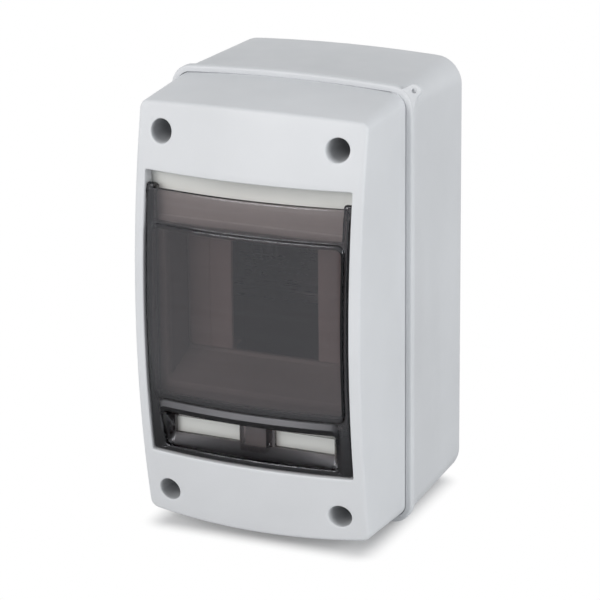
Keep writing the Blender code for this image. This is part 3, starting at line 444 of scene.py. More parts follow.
def etchedPocket(tree):
    # the finger pocket's brow and floor are lightly etched for grip
    where = objectAxes(tree)
    fadeX, fadeZ = smoke["etchFade"]
    total = 0.0
    for half, low, high, rough in smoke["etched"]:
        across = within(tree, where["X"], -half, half, fadeX)
        inside = maths(tree, "MULTIPLY", across, within(tree, where["Z"], low, high, fadeZ))
        total = maths(tree, "MULTIPLY_ADD", inside, rough, total)
    return total


def smokedPane():
    material, tree, shader, out = newMaterial("smokedClear")
    streaks = spreadOf(tree, objectNoise(tree, 1.0, 5.0, (12.0, 12.0, 330.0)), 0.0, 1.0)
    rough = spreadOf(tree, objectNoise(tree, 70.0, 4.0), *smoke["rough"])
    waves = objectNoise(tree, 120.0, 2.0)
    relief = put(tree, "Bump", {"Height": waves, "Distance": smoke["wave"], "Strength": 1.0})
    feed(tree, shader, {
        "IOR": smoke["index"],
        "Transmission Weight": 1.0,
        "Specular Tint": (*smoke["sheen"], 1.0),
        "Base Color": blended(tree, streaks, white, (*smoke["streak"], 1.0)),
        "Roughness": maths(tree, "ADD", rough, etchedPocket(tree)),
        "Normal": relief.outputs[0],
    })
    shadow = put(tree, "LightPath").outputs["Is Shadow Ray"]
    clear = put(tree, "BsdfTransparent").outputs[0]
    both = put(tree, "MixShader", {0: shadow, 1: shader.outputs[0], 2: clear})
    dark = put(tree, "VolumeAbsorption", {"Color": (*smoke["colour"], 1.0), "Density": smoke["density"]})
    feed(tree, out, {"Surface": both.outputs[0], "Volume": dark.outputs[0]})
    return material


# the shell and frame plastics carry painted shade in the screw holes and in the recess
shellPlastic = shadedPlastic("shellPlastic", boreShade)
framePlastic = shadedPlastic("framePlastic", recessShade)
blankPlastic, screwPlastic, capPlastic, holderPlastic, sealRubber = (
    mouldedPlastic(name) for name in list(finishes)[2:]
)
zincPlate, barBrass = (drawnMetal(name) for name in metals)
smokedClear = smokedPane()
print("finishes mixed")


# Places taken from the frame, in mm

def nodeBox(name):
    low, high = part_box(name)
    return Vector(low) / mm, Vector(high) / mm


jointPlace = {
    joint["name"]: Vector(joint["pos_m"]) / mm for joint in frame["joints"] if joint.get("pos_m")
}
screwPlace = {corner: jointPlace["cover_screw_%s_turn" % corner] for corner in corners}
hingeY, hingeZ = jointPlace["door_hinge"].y, jointPlace["door_hinge"].z
apexY = nodeBox("door")[0].y             # middle of the domed front
skirtY = nodeBox("front_cover")[1].y     # cover's edge inside the rim
rimY = nodeBox("back_box")[0].y
seatY = screwPlace["top_left"].y
near = 1e-3                              # places closer than this are the same


# Shapes: a rounded rectangle (left, right, low, high, corner), and a circle is one too

def rounded(x, z, corner):
    return (-x, x, -z, z, corner)


def circle(x, z, radius):
    return (x - radius, x + radius, z - radius, z + radius, radius)


def grown(shape, by):
    left, right, low, high, corner = shape
    return (left - by, right + by, low - by, high + by, max(corner + by, 0.05))


def between(old, new, share):
    return tuple(a + (b - a) * share for a, b in zip(old, new))


# Stages: the (shape, depth) pairs that a loop is drawn through

def turn(old, new, y, back, outFirst=True, steps=4):
    # a quarter round from one shape to another that lies deeper
    stages = []
    for step in range(1, steps + 1):
        angle = math.pi / 2 * step / steps
        early, late = math.sin(angle), 1 - math.cos(angle)
        share, deep = (early, late) if outFirst else (late, early)
        stages.append((between(old, new, share), y + back * deep))
    return stages


def bend(shape, y, out, back, outFirst, steps=4):
    return turn(shape, grown(shape, out), y, back, outFirst, steps)


def upTo(shape, y, out, back, outFirst, steps=4):
    # on to a shape, then a quarter round
    return [(shape, y)] + bend(shape, y, out, back, outFirst, steps)


def rings(x, z, *pairs):
    # circles about one place, from pairs of radius and depth
    return [(circle(x, z, radius), y) for radius, y in pairs]


# Drawing in a bmesh, in mm

def vertsOf(geom):
    return [item for item in geom if isinstance(item, bmesh.types.BMVert)]


def edgesRound(verts):
    return list({edge for vert in verts for edge in vert.link_edges})


def bevel(bm, geom, offset, segments, affect="EDGES", **more):
    return bmesh.ops.bevel(
        bm, geom=geom, offset=offset, offset_type="OFFSET", affect=affect,
        segments=segments, profile=0.5, material=-1, **more,
    )


def roundedLoop(bm, shape, y, segments=6):
    left, right, low, high, corner = shape
    verts = [bm.verts.new((x, y, z)) for x, z in ((left, low), (right, low), (right, high), (left, high))]
    bm.faces.new(verts)
    made = bevel(bm, verts, corner, segments, "VERTICES")
    face = made["verts"][0].link_faces[0]
    loop = list(face.edges)
    bmesh.ops.delete(bm, geom=[face], context="FACES_ONLY")
    return loop


def circleLoop(bm, shape, y, segments=32):
    middle = Matrix.Translation(((shape[0] + shape[1]) / 2, y, (shape[2] + shape[3]) / 2))
    facing = middle @ Matrix.Rotation(math.pi / 2, 4, "X")
    return edgesRound(bmesh.ops.create_circle(bm, segments=segments, radius=shape[4], matrix=facing)["verts"])


def patchMove(value, old, new):
    # moves a value from one (low, high, corner) to another, the corners keeping their own scale
    low, high, corner = old
    newLow, newHigh, newCorner = new
    if value < low + corner:
        return newLow + (value - low) * newCorner / corner
    if value > high - corner:
        return newHigh + (value - high) * newCorner / corner
    share = (value - low - corner) / max(high - low - 2 * corner, 1e-6)
    return newLow + newCorner + share * (newHigh - newLow - 2 * newCorner)


def movedSpot(x, z, old, new):
    # takes a spot on one shape to the same spot on another
    acrossOld, acrossNew = (old[0], old[1], old[4]), (new[0], new[1], new[4])
    return patchMove(x, acrossOld, acrossNew), patchMove(z, old[2:], new[2:])


def drawOn(bm, loop, old, new, y):
    made = bmesh.ops.extrude_edge_only(bm, edges=loop)["geom"]
    for vert in vertsOf(made):
        x, z = movedSpot(vert.co.x, vert.co.z, old, new)
        vert.co = (x, y, z)
    return [item for item in made if isinstance(item, bmesh.types.BMEdge) and item.is_boundary]


def chain(bm, loop, shape, stages):
    for newShape, y in stages:
        loop = drawOn(bm, loop, shape, newShape, y)
        shape = newShape
    return loop


def openLoop(bm, y, shape):
    # the open edges at one depth that lie inside a shape
    left, right, low, high, _ = grown(shape, 0.02)
    return [
        edge for edge in bm.edges
        if edge.is_boundary and all(
            abs(vert.co.y - y) < near and left < vert.co.x < right and low < vert.co.z < high
            for vert in edge.verts
        )
    ]


def splitLoops(bm, y, outer, holes):
    # the open edges round a plate's outside, and those of each of its holes
    loops = [openLoop(bm, y, hole) for hole in holes]
    taken = {edge for loop in loops for edge in loop}
    return [edge for edge in openLoop(bm, y, outer) if edge not in taken], loops


def fillPlate(bm, loops, pitch=0.0):
    # fills between loops at one depth, sliced so that the plate can follow a dome
    edges = [edge for loop in loops for edge in loop]
    y = edges[0].verts[0].co.y
    bmesh.ops.triangle_fill(bm, edges=edges, use_beauty=True, normal=(0, -1, 0))
    if not pitch:
        return
    spots = [vert.co for edge in edges for vert in edge.verts]
    for axis in (0, 2):
        low, high = min(spot[axis] for spot in spots), max(spot[axis] for spot in spots)
        count = max(round((high - low) / pitch), 1)
        normal = Vector((axis == 0, 0, axis == 2))
        for step in range(1, count):
            faces = [
                face for face in bm.faces
                if all(abs(vert.co.y - y) < near for vert in face.verts)
                and low - 0.1 < face.calc_center_median()[axis] < high + 0.1
            ]
            geom = faces + list({item for face in faces for item in (*face.edges, *face.verts)})
            cut = normal * (low + (high - low) * step / count)
            bmesh.ops.bisect_plane(bm, geom=geom, dist=1e-4, plane_co=cut, plane_no=normal)


def capEnd(bm, loop):
    bmesh.ops.edgeloop_fill(bm, edges=loop)


def domeFall(x, z):
    return cover["dome"][0] * (x / cover["front"][0]) ** 2 + cover["dome"][1] * (z / cover["front"][1]) ** 2


def followDome(bm, before):
    # what lies in front of a depth rides on the dome
    for vert in bm.verts:
        if vert.co.y < before:
            vert.co.y += domeFall(vert.co.x, vert.co.z)


def bowEnds(bm, halfX, bow, start, full):
    # pushes the ends out in a shallow arc
    for vert in bm.verts:
        over = min(max((abs(vert.co.z) - start) / (full - start), 0.0), 1.0)
        push = over * bow * (1 - (vert.co.x / halfX) ** 2)
        vert.co.z += math.copysign(push, vert.co.z)


def addBar(bm, low, high, soft=0.0):
    # a box between two corners with softened edges
    low, high = Vector(low), Vector(high)
    place = Matrix.Translation((low + high) / 2) @ Matrix.Diagonal((*(high - low), 1.0))
    made = bmesh.ops.create_cube(bm, size=1.0, matrix=place)["verts"]
    if soft:
        bevel(bm, edgesRound(made), soft, 2)


def addRod(bm, place, radius, depth, segments):
    bmesh.ops.create_cone(
        bm, cap_ends=True, segments=segments, radius1=radius, radius2=radius, depth=depth, matrix=place,
    )


def addDrawn(bm, face, shift):
    # draws a face out into a solid
    drawn = bmesh.ops.extrude_face_region(bm, geom=[face])["geom"]
    bmesh.ops.translate(bm, verts=vertsOf(drawn), vec=shift)


def addSpun(bm, profile, place, axis=(0, -1, 0), steps=32):
    # spins a profile of (radius, height) about an axis through a place, the height along the axis
    along, out = Vector(axis), Vector((0, 0, 1))
    verts = [bm.verts.new(Vector(place) + along * height + out * radius) for radius, height in profile]
    edges = [bm.edges.new(pair) for pair in zip(verts, verts[1:])]
    spinRound(bm, verts + edges, place, axis, steps)
    bmesh.ops.remove_doubles(bm, verts=bm.verts, dist=1e-4)


def spinRound(bm, geom, middle, axis, steps):
    bmesh.ops.spin(bm, geom=geom, cent=middle, axis=axis, angle=2 * math.pi, steps=steps, use_merge=True)


def soften(bm, soft, segments=2, least=30):
    # rounds every edge that is sharper than an angle
    bmesh.ops.recalc_face_normals(bm, faces=bm.faces)
    sharp = [edge for edge in bm.edges if edge.is_manifold and edge.calc_face_angle() > math.radians(least)]
    bevel(bm, sharp, soft, segments, clamp_overlap=True)


# Pieces

def closedMesh(name, bm):
    # a shape drawn in mm becomes a mesh in metres
    bmesh.ops.remove_doubles(bm, verts=bm.verts, dist=1e-4)
    bmesh.ops.recalc_face_normals(bm, faces=bm.faces)
    bmesh.ops.scale(bm, verts=bm.verts, vec=(mm, mm, mm))
    mesh = bpy.data.meshes.new(name)
    bm.to_mesh(mesh)
    bm.free()
    return mesh


def shadeSmooth(mesh, sharp):
    mesh.shade_smooth()
    mesh.set_sharp_from_angle(angle=math.radians(sharp))


def looseShape(name, bm, material, sharp=38):
    mesh = closedMesh(name, bm)
    mesh.materials.append(material)
    shadeSmooth(mesh, sharp)
    return addObject(name, mesh)


def handIn(piece, body, node):
    # a finished piece rides on a body and stands for a CAD node
    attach(piece, body)
    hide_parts(node)
    return piece


def makePiece(name, bm, material, body, node, sharp=38):
    return handIn(looseShape(name, bm, material, sharp), body, node)


def carve(piece, bm, operation, sharp=38):
    # joins or cuts a closed shape drawn in mm, and keeps the result in the mesh
    tool = addObject("tool", closedMesh("tool", bm))
    step = piece.modifiers.new("carve", "BOOLEAN")
    step.operation = operation
    step.solver = "EXACT"
    step.object = tool
    graph = bpy.context.evaluated_depsgraph_get()
    shaped = bpy.data.meshes.new_from_object(piece.evaluated_get(graph))
    piece.modifiers.clear()
    piece.data = shaped
    shadeSmooth(shaped, sharp)
    bpy.data.objects.remove(tool)


def plainTitle(corner):
    return corner.title().replace("_", "")


# Front cover

cover = {
    "front": (46.4, 81.9, 3.2),      # half width, half height and corner of the front
    "skirt": (47.1, 84.4, 5.0),      # and at the rim
    "skirtEdge": 0.3,
    "inside": (44.3, 80.2, 2.8),     # inside of the walls at the collar
    "hollow": (43.9, 79.8, 2.6),     # half width, end and corner of the hollows above and below the opening
    "dome": (5.0, 9.3),              # fall of the front to its sides and ends
    "domeBack": -97.0,               # what lies in front of this rides on the dome
    "bow": 2.0,                      # how far the ends bow out
    "bowZone": (77.0, 79.6),
    "edge": 1.4,
    "wall": 2.2,
    "plate": 2.4,
    "opening": (-42.0, 42.0, -55.4, 56.8, 0.8),
    "lip": 0.6,
    "collarY": -89.6,
    "collar": 2.2,
    "hole": 4.55,
    "holeLip": 0.5,
    "shank": 2.3,
    "tube": 6.35,
    "tubeY": -56.3,
    "fillet": 0.8,
    "hook": (4.5, 2.0, 1.3, -85.0, -95.6),   # half width, thickness, barb, back and root
    "hookX": 26.0,
    "hookZ": (60.1, -58.7),
    "pivot": (1.5, 41.0, 44.3),      # radius, from and to
    "pitch": 3.0,
}


def makeCover():
    bm = bmesh.new()
    face = grown(rounded(*cover["front"]), -cover["edge"])
    mouth = grown(cover["opening"], cover["lip"])
    holes = [circle(spot.x, spot.z, cover["hole"] + cover["holeLip"]) for spot in screwPlace.values()]
    loops = [roundedLoop(bm, face, apexY, 8), roundedLoop(bm, mouth, apexY, 3)]
    loops += [circleLoop(bm, hole, apexY, 40) for hole in holes]
    fillPlate(bm, loops, cover["pitch"])
    outer, (inner, *holeLoops) = splitLoops(bm, apexY, face, [mouth] + holes)

    # opening, back to the collar's edge
    stages = bend(mouth, apexY, -cover["lip"], cover["lip"], True, 3)
    inner = chain(bm, inner, mouth, stages + [(cover["opening"], cover["collarY"])])

    # rounded front edge, skirt, and the inside of the walls up to the collar
    skirt, edge = rounded(*cover["skirt"]), cover["skirtEdge"]
    thin = grown(skirt, -cover["wall"])
    stages = bend(face, apexY, cover["edge"], cover["edge"], True, 6)
    stages += [(skirt, rimY), (skirt, skirtY - edge), (grown(skirt, -edge), skirtY)]
    stages += [(thin, skirtY), (thin, rimY), (rounded(*cover["inside"]), cover["collarY"])]
    outer = chain(bm, outer, face, stages)

    # screw tubes: bore, seat, shank hole, and back along the outside
    fillet = cover["fillet"]
    filletY = apexY + cover["plate"] + fillet
    for number, spot in enumerate(screwPlace.values()):
        bore, shank, tube, tubeY = (cover[key] for key in ("hole", "shank", "tube", "tubeY"))
        stages = bend(holes[number], apexY, -cover["holeLip"], cover["holeLip"], True, 3)
        stages += rings(spot.x, spot.z, (bore, seatY), (shank, seatY), (shank, tubeY), (tube, tubeY))
        stages += upTo(circle(spot.x, spot.z, tube), filletY, fillet, -fillet, False, 3)
        holeLoops[number] = chain(bm, holeLoops[number], holes[number], stages)

    # hollows above and below the opening
    _, _, low, high, _ = cover["opening"]
    halfX, end, corner = cover["hollow"]
    hollows = {
        1: (-halfX, halfX, high + cover["collar"], end, corner),
        -1: (-halfX, halfX, -end, low - cover["collar"], corner),
    }
    mouths = {up: roundedLoop(bm, hollow, cover["collarY"], 5) for up, hollow in hollows.items()}
    fillPlate(bm, [outer, inner] + list(mouths.values()))
    for up, hollow in hollows.items():
        roof = chain(bm, mouths[up], hollow, upTo(hollow, filletY, -fillet, -fillet, False, 3))
        tubes = [loop for loop, spot in zip(holeLoops, screwPlace.values()) if spot.z * up > 0]
        fillPlate(bm, [roof] + tubes, 2 * cover["pitch"])

    bowEnds(bm, cover["front"][0], cover["bow"], *cover["bowZone"])
    followDome(bm, cover["domeBack"])
    piece = makePiece("frontCover", bm, shellPlastic, "cover", "front_cover")
    carve(piece, frameHooks(), "UNION")
    carve(piece, pivotHoles(), "DIFFERENCE")


def frameHooks():
    # four barbed hooks behind the front hold the module frame
    bm = bmesh.new()
    halfX, thick, barb, back, root = cover["hook"]
    for edge, up in zip(cover["hookZ"], (1, -1)):
        far, tip, barbY = edge + up * thick, edge - up * barb, back - thick
        profile = [(root, edge), (root, far), (back, far), (back, edge), (barbY, tip), (barbY, edge)]
        for right in sides.values():
            start = right * cover["hookX"] - halfX
            face = bm.faces.new([bm.verts.new((start, y, z)) for y, z in profile])
            addDrawn(bm, face, (2 * halfX, 0, 0))
    return bm


def pivotHoles():
    bm = bmesh.new()
    radius, start, end = cover["pivot"]
    for right in sides.values():
        profile = [(0.0, start), (radius, start), (radius, end), (0.0, end)]
        addSpun(bm, profile, (0, hingeY, hingeZ), (right, 0, 0), 24)
    return bm


makeCover()
print("front cover made")


# Back box

box = {
    "back": (48.3, 85.6, 10.0),      # half width, half height and corner at the wall
    "front": (48.7, 86.0, 7.2),      # and just behind the rim
    "rim": (49.7, 87.0, 7.6),
    "mouth": (47.2, 84.5, 5.1),      # where the cover's skirt goes in
    "bow": 1.8,
    "bowZone": (80.6, 81.6),
    "fillet": 1.5,
    "wall": 2.8,
    "floorY": -2.6,
    "floorRound": 1.0,
    "neck": 0.5,                     # fillet behind the rim
    "rimDepth": 4.0,
    "rimRound": 0.9,
    "rimBack": (0.4, 0.1, 0.5),      # width, slope and depth of the round at the rim's back
    "lead": 0.4,                     # round that leads the skirt in
    "stepY": -51.3,
    "fixing": (20.0, 73.5),
    "fixingRadii": (2.5, 4.5, 6.5),  # hole, sink and boss
    "fixingEdges": (0.3, 0.4, 0.6),  # bevel of the sink, round of the boss and fillet at the floor
    "sinkY": -4.0,
    "bossY": -7.6,
    # risers on the floor, each ending with its fillet there and the bevels of its top and of its bore or pin
    "pillar": (4.5, 2.3, 20.0, 0.8, 0.5, 0.3),                      # radius, bore and depth of the bore
    "railBoss": (28.0, 3.9, 4.5, 2.1, -18.7, -9.7, 0.8, 0.3),       # x, z, radius, bore, top and bottom
    "post": (25.0, 3.5, -11.6, 1.6, -14.6, 0.6, 0.2, 0.3),          # x, radius, shoulder, pin and its tip
    "strips": (58.0, 42.0, -50.0),
    "rib": (2.0, -40.0, -1.3, 3.4, 1.4),     # thickness, front, back, start at the pillar, end in the wall
    "knockout": (27.0, 10.0, 9.2, 0.8, -95.0),   # pitch, outer and inner radius, depth, and below the box
    "eyelet": (50.4, 86.3, 2.4, 1.0, -55.7, -53.4),   # x, z, radius, hole, front and back
    "tongue": ((7.5, 6.4), (2.4, 2.9)),      # root and waist of the eyelet's tongue: along and aside
    "tongueSoft": (2.2, 0.5),                # round at its waist and of its edges
}


def boxRisers():
    # pillars, rail bosses and pinned posts: place, fillet and (radius, depth) pairs
    wide, bore, deep, foot, top, edge = box["pillar"]
    pairs = ((wide, rimY + top), (wide - top, rimY), (bore + edge, rimY), (bore, rimY + edge))
    pairs += ((bore, rimY + deep),)
    risers = [(spot.x, spot.z, foot, pairs) for spot in screwPlace.values()]
    x, z, wide, bore, front, back, foot, top = box["railBoss"]
    pairs = ((wide, front + top), (wide - top, front), (bore, front), (bore, back))
    risers += [(right * x, z, foot, pairs) for right in sides.values()]
    x, wide, front, pin, tip, foot, top, edge = box["post"]
    pairs = ((wide, front + top), (wide - top, front), (pin, front), (pin, tip + edge), (pin - edge, tip))
    return risers + [(right * x, z, foot, pairs) for z in box["strips"] for right in sides.values()]


def makeBox():
    bm = bmesh.new()
    flat = grown(rounded(*box["back"]), -box["fillet"])
    hole, sink, boss = box["fixingRadii"]
    spots = [(right * box["fixing"][0], up * box["fixing"][1]) for right, up in corners.values()]
    holes = [circle(x, z, hole) for x, z in spots]
    outer = roundedLoop(bm, flat, 0.0, 10)
    fillPlate(bm, [outer] + [circleLoop(bm, shape, 0.0, 24) for shape in holes], 12.0)
    outer, fixings = splitLoops(bm, 0.0, flat, holes)

    # outside wall, rim, the mouth for the cover and the inside wall down to the floor
    front, rim, mouth = (rounded(*box[key]) for key in ("front", "rim", "mouth"))
    fillet, neck, soft, lead = (box[key] for key in ("fillet", "neck", "rimRound", "lead"))
    inset, slope, deep = box["rimBack"]
    rimBack, floorY, floorRound = rimY + box["rimDepth"], box["floorY"], box["floorRound"]
    low = grown(rounded(*box["back"][:2], box["front"][2]), -box["wall"])
    stages = bend(flat, 0.0, fillet, -fillet, True, 4)
    stages += upTo(front, rimBack + neck, neck, -neck, False, 2)
    stages += upTo(grown(rim, -inset), rimBack - slope, inset, -deep, True, 3)
    stages += upTo(rim, rimY + soft, -soft, -soft, False, 4)
    stages += upTo(grown(mouth, lead), rimY, -lead, lead, True, 4)
    stages += [(mouth, box["stepY"]), (grown(front, -box["wall"]), box["stepY"])]
    stages += upTo(low, floorY - floorRound, -floorRound, floorRound, False, 3)
    floor = chain(bm, outer, flat, stages)

    # wall fixings: from the hole in the back up into the boss and down to the floor
    sinkY, bossY = box["sinkY"], box["bossY"]
    edge, soft, foot = box["fixingEdges"]
    for number, (x, z) in enumerate(spots):
        stages = rings(x, z, (hole, sinkY), (sink, sinkY), (sink, bossY + edge), (sink + edge, bossY))
        stages += upTo(circle(x, z, boss - soft), bossY, soft, soft, True, 2)
        stages += upTo(circle(x, z, boss), floorY - foot, foot, foot, False, 3)
        fixings[number] = chain(bm, fixings[number], holes[number], stages)

    # the risers start as rings on the floor
    risers = boxRisers()
    feet = [circle(x, z, pairs[0][0] + foot) for x, z, foot, pairs in risers]
    loops = [circleLoop(bm, shape, floorY, 24) for shape in feet]
    fillPlate(bm, [floor] + fixings + loops)
    for loop, shape, (x, z, foot, pairs) in zip(loops, feet, risers):
        stages = bend(shape, floorY, -foot, -foot, True, 3) + rings(x, z, *pairs)
        capEnd(bm, chain(bm, loop, shape, stages))

    bowEnds(bm, box["front"][0], box["bow"], *box["bowZone"])
    piece = makePiece("backBox", bm, shellPlastic, "back", "back_box")
    carve(piece, eyeletLug(), "UNION")
    carve(piece, boxRibs(), "UNION")
    carve(piece, boxCuts(), "DIFFERENCE")


def eyeletLug():
    # a round tongue at the rim's top right corner, flared where it meets the rim
    x, z, radius, _, front, back = box["eyelet"]
    (rootX, rootZ), (waistX, waistZ) = box["tongue"]
    flare, soft = box["tongueSoft"]
    half = [(-rootX, rootZ), (-waistX, waistZ), (radius, radius)]
    outline = [(along, -aside) for along, aside in half] + half[::-1]
    bm = bmesh.new()
    verts = [bm.verts.new((along, front, aside)) for along, aside in outline]
    bm.faces.new(verts)
    bevel(bm, verts[2:4], radius * 0.98, 8, "VERTICES")
    bevel(bm, [verts[1], verts[4]], flare, 8, "VERTICES")
    addDrawn(bm, next(iter(bm.faces)), (0, back - front, 0))
    rims = [edge for edge in bm.edges if abs(edge.verts[0].co.y - edge.verts[1].co.y) < near]
    bevel(bm, rims, soft, 3)
    placed = Matrix.Translation((x, 0, z)) @ Matrix.Rotation(-math.pi / 4, 4, "Y")
    bmesh.ops.transform(bm, matrix=placed, verts=bm.verts)
    return bm


def boxRibs():
    # two ribs from each pillar to the walls
    bm = bmesh.new()
    thick, front, back, start, sunk = box["rib"]
    half = thick / 2
    for x, _, z in screwPlace.values():
        right, up = math.copysign(1, x), math.copysign(1, z)
        left, far = sorted((x + right * start, right * (box["back"][0] - sunk)))
        low, high = sorted((z + up * start, up * (box["back"][1] - sunk)))
        addBar(bm, (left, front, z - half), (far, back, z + half))
        addBar(bm, (x - half, front, low), (x + half, back, high))
    return bm


def boxCuts():
    # the eyelet's hole, and the knock-out rings scored into the bottom
    bm = bmesh.new()
    x, z, _, hole, front, back = box["eyelet"]
    place = Matrix.Translation((x, (front + back) / 2, z)) @ Matrix.Rotation(math.pi / 2, 4, "X")
    addRod(bm, place, hole, 8.0, 20)
    pitch, wide, slim, deep, below = box["knockout"]
    middleY = (rimY + box["rimDepth"]) / 2
    for middle in (-pitch, 0.0, pitch):
        far = abs(middle) + wide
        bottom = -(box["back"][1] + box["bow"] * (1 - (far / box["front"][0]) ** 2)) + deep
        profile = ((slim, below), (slim, bottom), (wide, bottom), (wide, below))
        verts = [bm.verts.new((middle + radius, middleY, height)) for radius, height in profile]
        edges = [bm.edges.new(pair) for pair in zip(verts, verts[1:] + verts[:1])]
        spinRound(bm, verts + edges, (middle, middleY, 0), (0, 0, 1), 48)
    return bm


makeBox()
print("back box made")


# Smoked door

door = {
    "outline": (-41.6, 41.6, -55.0, 50.1, 1.6),
    "edge": 0.7,
    "sink": 1.2,                           # bands behind the dome
    "domeBack": -98.0,                     # what lies in front of this rides on the dome
    "pane": (-39.8, 39.8, -32.3, 37.0, 3.0),
    "paneFoot": (-40.2, 40.2, -32.7, 37.4, 3.4),     # fillet round the raised pane
    "paneStep": (0.5, 0.7),                # height of the fillet and of the pane's rounded edge
    "sheet": 1.5,
    "paneSheet": 2.0,
    "backY": -90.5,
    "brow": (-37.6, 37.6, -53.4, -33.2, 3.0),        # raised above the finger pocket
    "browRise": 1.2,
    "browSteps": (0.12, 0.88, 1.0),
    "mouth": (-36.4, 36.4, -53.0, -35.3, 2.0),
    "lip": (-35.7, 35.7, -52.1, -38.4, 1.3),
    "lipSink": 2.8,
    "well": (-33.4, 33.4, -48.2, -41.2, 0.5),
    "wellY": -92.0,
    "wellRise": 1.4,                       # how late the well's floor rises
    "windows": ((-33.2, -6.2, -48.0, -41.3, 0.3), (8.5, 33.2, -48.0, -41.3, 0.3)),
    "hollow": (-39.2, 39.2, -39.4, 48.4, 0.6),
    "hollowFoot": -36.0,                   # where the sloped foot of the hollow meets the rib
    "rib": 2.4,                            # dark rib behind the pane's border
    "rooms": ((-38.4, 38.4, 37.2, 47.9, 1.0), (-38.4, 38.4, -35.6, -33.9, 0.6)),
    "paneRoom": (-38.4, 38.4, -30.4, 35.0, 2.4),
    "openTop": (-38.6, 38.6, 47.0, 53.0, 0.3),
    "openTopY": (-0.05, -88.0),            # from just in front of the sheet's back, to behind the door
    "blockFront": (-5.0, 5.6, -51.0, -39.2, -94.3),
    "blockBack": (-6.1, 8.3, -51.0, -40.5, -91.0),
    "blockSoft": 0.7,
    "blockHollow": ((-4.2, -92.5, -49.2), (5.0, -88.0, -40.7), 0.4),   # two corners and a softening
    "ear": (3.4, 38.8, 41.6, 0.4),         # radius, from, to and softening
    "earSink": 0.1,                        # behind the door's front
    "stud": (1.2, 44.0),
    "pitch": 3.0,
    "sharp": 30,
}


def makeDoor():
    bm = bmesh.new()
    bandY = apexY + door["sink"]
    browY = bandY - door["browRise"]
    face = grown(door["outline"], -door["edge"])
    foot, pane, brow, mouth = (door[key] for key in ("paneFoot", "pane", "brow", "mouth"))
    loops = [roundedLoop(bm, shape, bandY, count) for shape, count in ((face, 6), (foot, 8), (brow, 6))]
    fillPlate(bm, loops, door["pitch"])
    outer, (paneLoop, pocketLoop) = splitLoops(bm, bandY, face, [foot, brow])

    # side walls, and the raised pane
    stages = turn(face, door["outline"], bandY, door["edge"])
    outer = chain(bm, outer, face, stages + [(door["outline"], door["backY"])])
    fillet, edge = door["paneStep"]
    stages = turn(foot, pane, bandY, -fillet, True, 5)
    stages += bend(pane, bandY - fillet, -edge, -edge, False, 5)
    fillPlate(bm, [chain(bm, paneLoop, foot, stages)], door["pitch"])

    # the finger pocket's raised and rounded mouth
    stages = [(between(brow, mouth, share), bandY - door["browRise"] * share) for share in door["browSteps"]]
    stages += turn(mouth, door["lip"], browY, door["lipSink"], True, 8)
    pocketLoop = chain(bm, pocketLoop, brow, stages)
    fadeBrow(bm, bandY)

    # the hollow behind the pane, and the ribs that divide it
    hollow = roundedLoop(bm, door["hollow"], door["backY"], 3)
    sheetY = bandY + door["sheet"]
    ribY = sheetY + door["rib"]
    left, right, _, high, corner = door["hollow"]
    inside = chain(bm, hollow, door["hollow"], [((left, right, door["hollowFoot"], high, corner), ribY)])
    hollow = openLoop(bm, door["backY"], door["hollow"])
    rooms = {room: sheetY for room in door["rooms"]}
    rooms[door["paneRoom"]] = apexY + door["paneSheet"]
    fillPlate(bm, [inside] + [roundedLoop(bm, room, ribY, 6) for room in rooms], door["pitch"])
    for room, depth in rooms.items():
        fillPlate(bm, [chain(bm, openLoop(bm, ribY, room), room, [(room, depth)])], door["pitch"])
    followDome(bm, door["domeBack"])

    # the pocket's well and the two windows in its back
    well = scoop(bm, pocketLoop, browY + door["lipSink"])
    fillPlate(bm, [well] + [roundedLoop(bm, window, door["wellY"], 2) for window in door["windows"]])
    openings = [
        chain(bm, openLoop(bm, door["wellY"], window), window, [(window, door["backY"])])
        for window in door["windows"]
    ]
    fillPlate(bm, [outer, hollow] + openings)
    piece = makePiece("smokedDoor", bm, smokedClear, "door", "door", door["sharp"])
    blockHollow = bmesh.new()
    addBar(blockHollow, *door["blockHollow"])
    carve(piece, topCut(sheetY), "DIFFERENCE", door["sharp"])
    carve(piece, pocketBlock(), "UNION", door["sharp"])
    carve(piece, blockHollow, "DIFFERENCE", door["sharp"])
    carve(piece, doorPivots(), "UNION", door["sharp"])


def fadeBrow(bm, bandY):
    # the raised brow fades towards the pocket's foot, where only the rounded lip is left
    left, right, low, high, _ = door["mouth"]
    _, outX, foot, top, _ = door["brow"]
    browY, lipY = bandY - door["browRise"], bandY - door["browRise"] + door["lipSink"]
    for vert in bm.verts:
        x, y, z = vert.co
        if abs(x) > outX or not foot < z < top or y > lipY + near:
            continue
        inside = left - near < x < right + near and low - near < z < high + near
        plain = bandY + (y - browY) * (lipY - bandY) / (lipY - browY) if inside else bandY
        share = min(max((z - low) / (high - low), 0.0), 1.0)
        vert.co.y = plain + (y - plain) * share


def scoop(bm, loop, lipY, steps=5):
    # draws the mouth in from the domed lip to the flat well, its floor rising late
    lip, well = door["lip"], door["well"]
    shape = lip
    for step in range(1, steps + 1):
        share = step / steps
        left, right, _, high, corner = between(lip, well, share)
        new = (left, right, lip[2] + (well[2] - lip[2]) * share ** door["wellRise"], high, corner)
        loop = drawOn(bm, loop, shape, new, 0.0)
        for vert in {vert for edge in loop for vert in edge.verts}:
            front = lipY + domeFall(*movedSpot(vert.co.x, vert.co.z, new, lip))
            vert.co.y = front + (door["wellY"] - front) * share
        shape = new
    return loop


def topCut(sheetY):
    # between its ears the top edge is no thicker than the sheet
    bm = bmesh.new()
    shape = door["openTop"]
    front, back = door["openTopY"]
    fillPlate(bm, [roundedLoop(bm, shape, sheetY + front, 2)], door["pitch"])
    loop = openLoop(bm, sheetY + front, shape)
    fillPlate(bm, [chain(bm, loop, shape, [(shape, back)])])
    followDome(bm, door["domeBack"])
    return bm


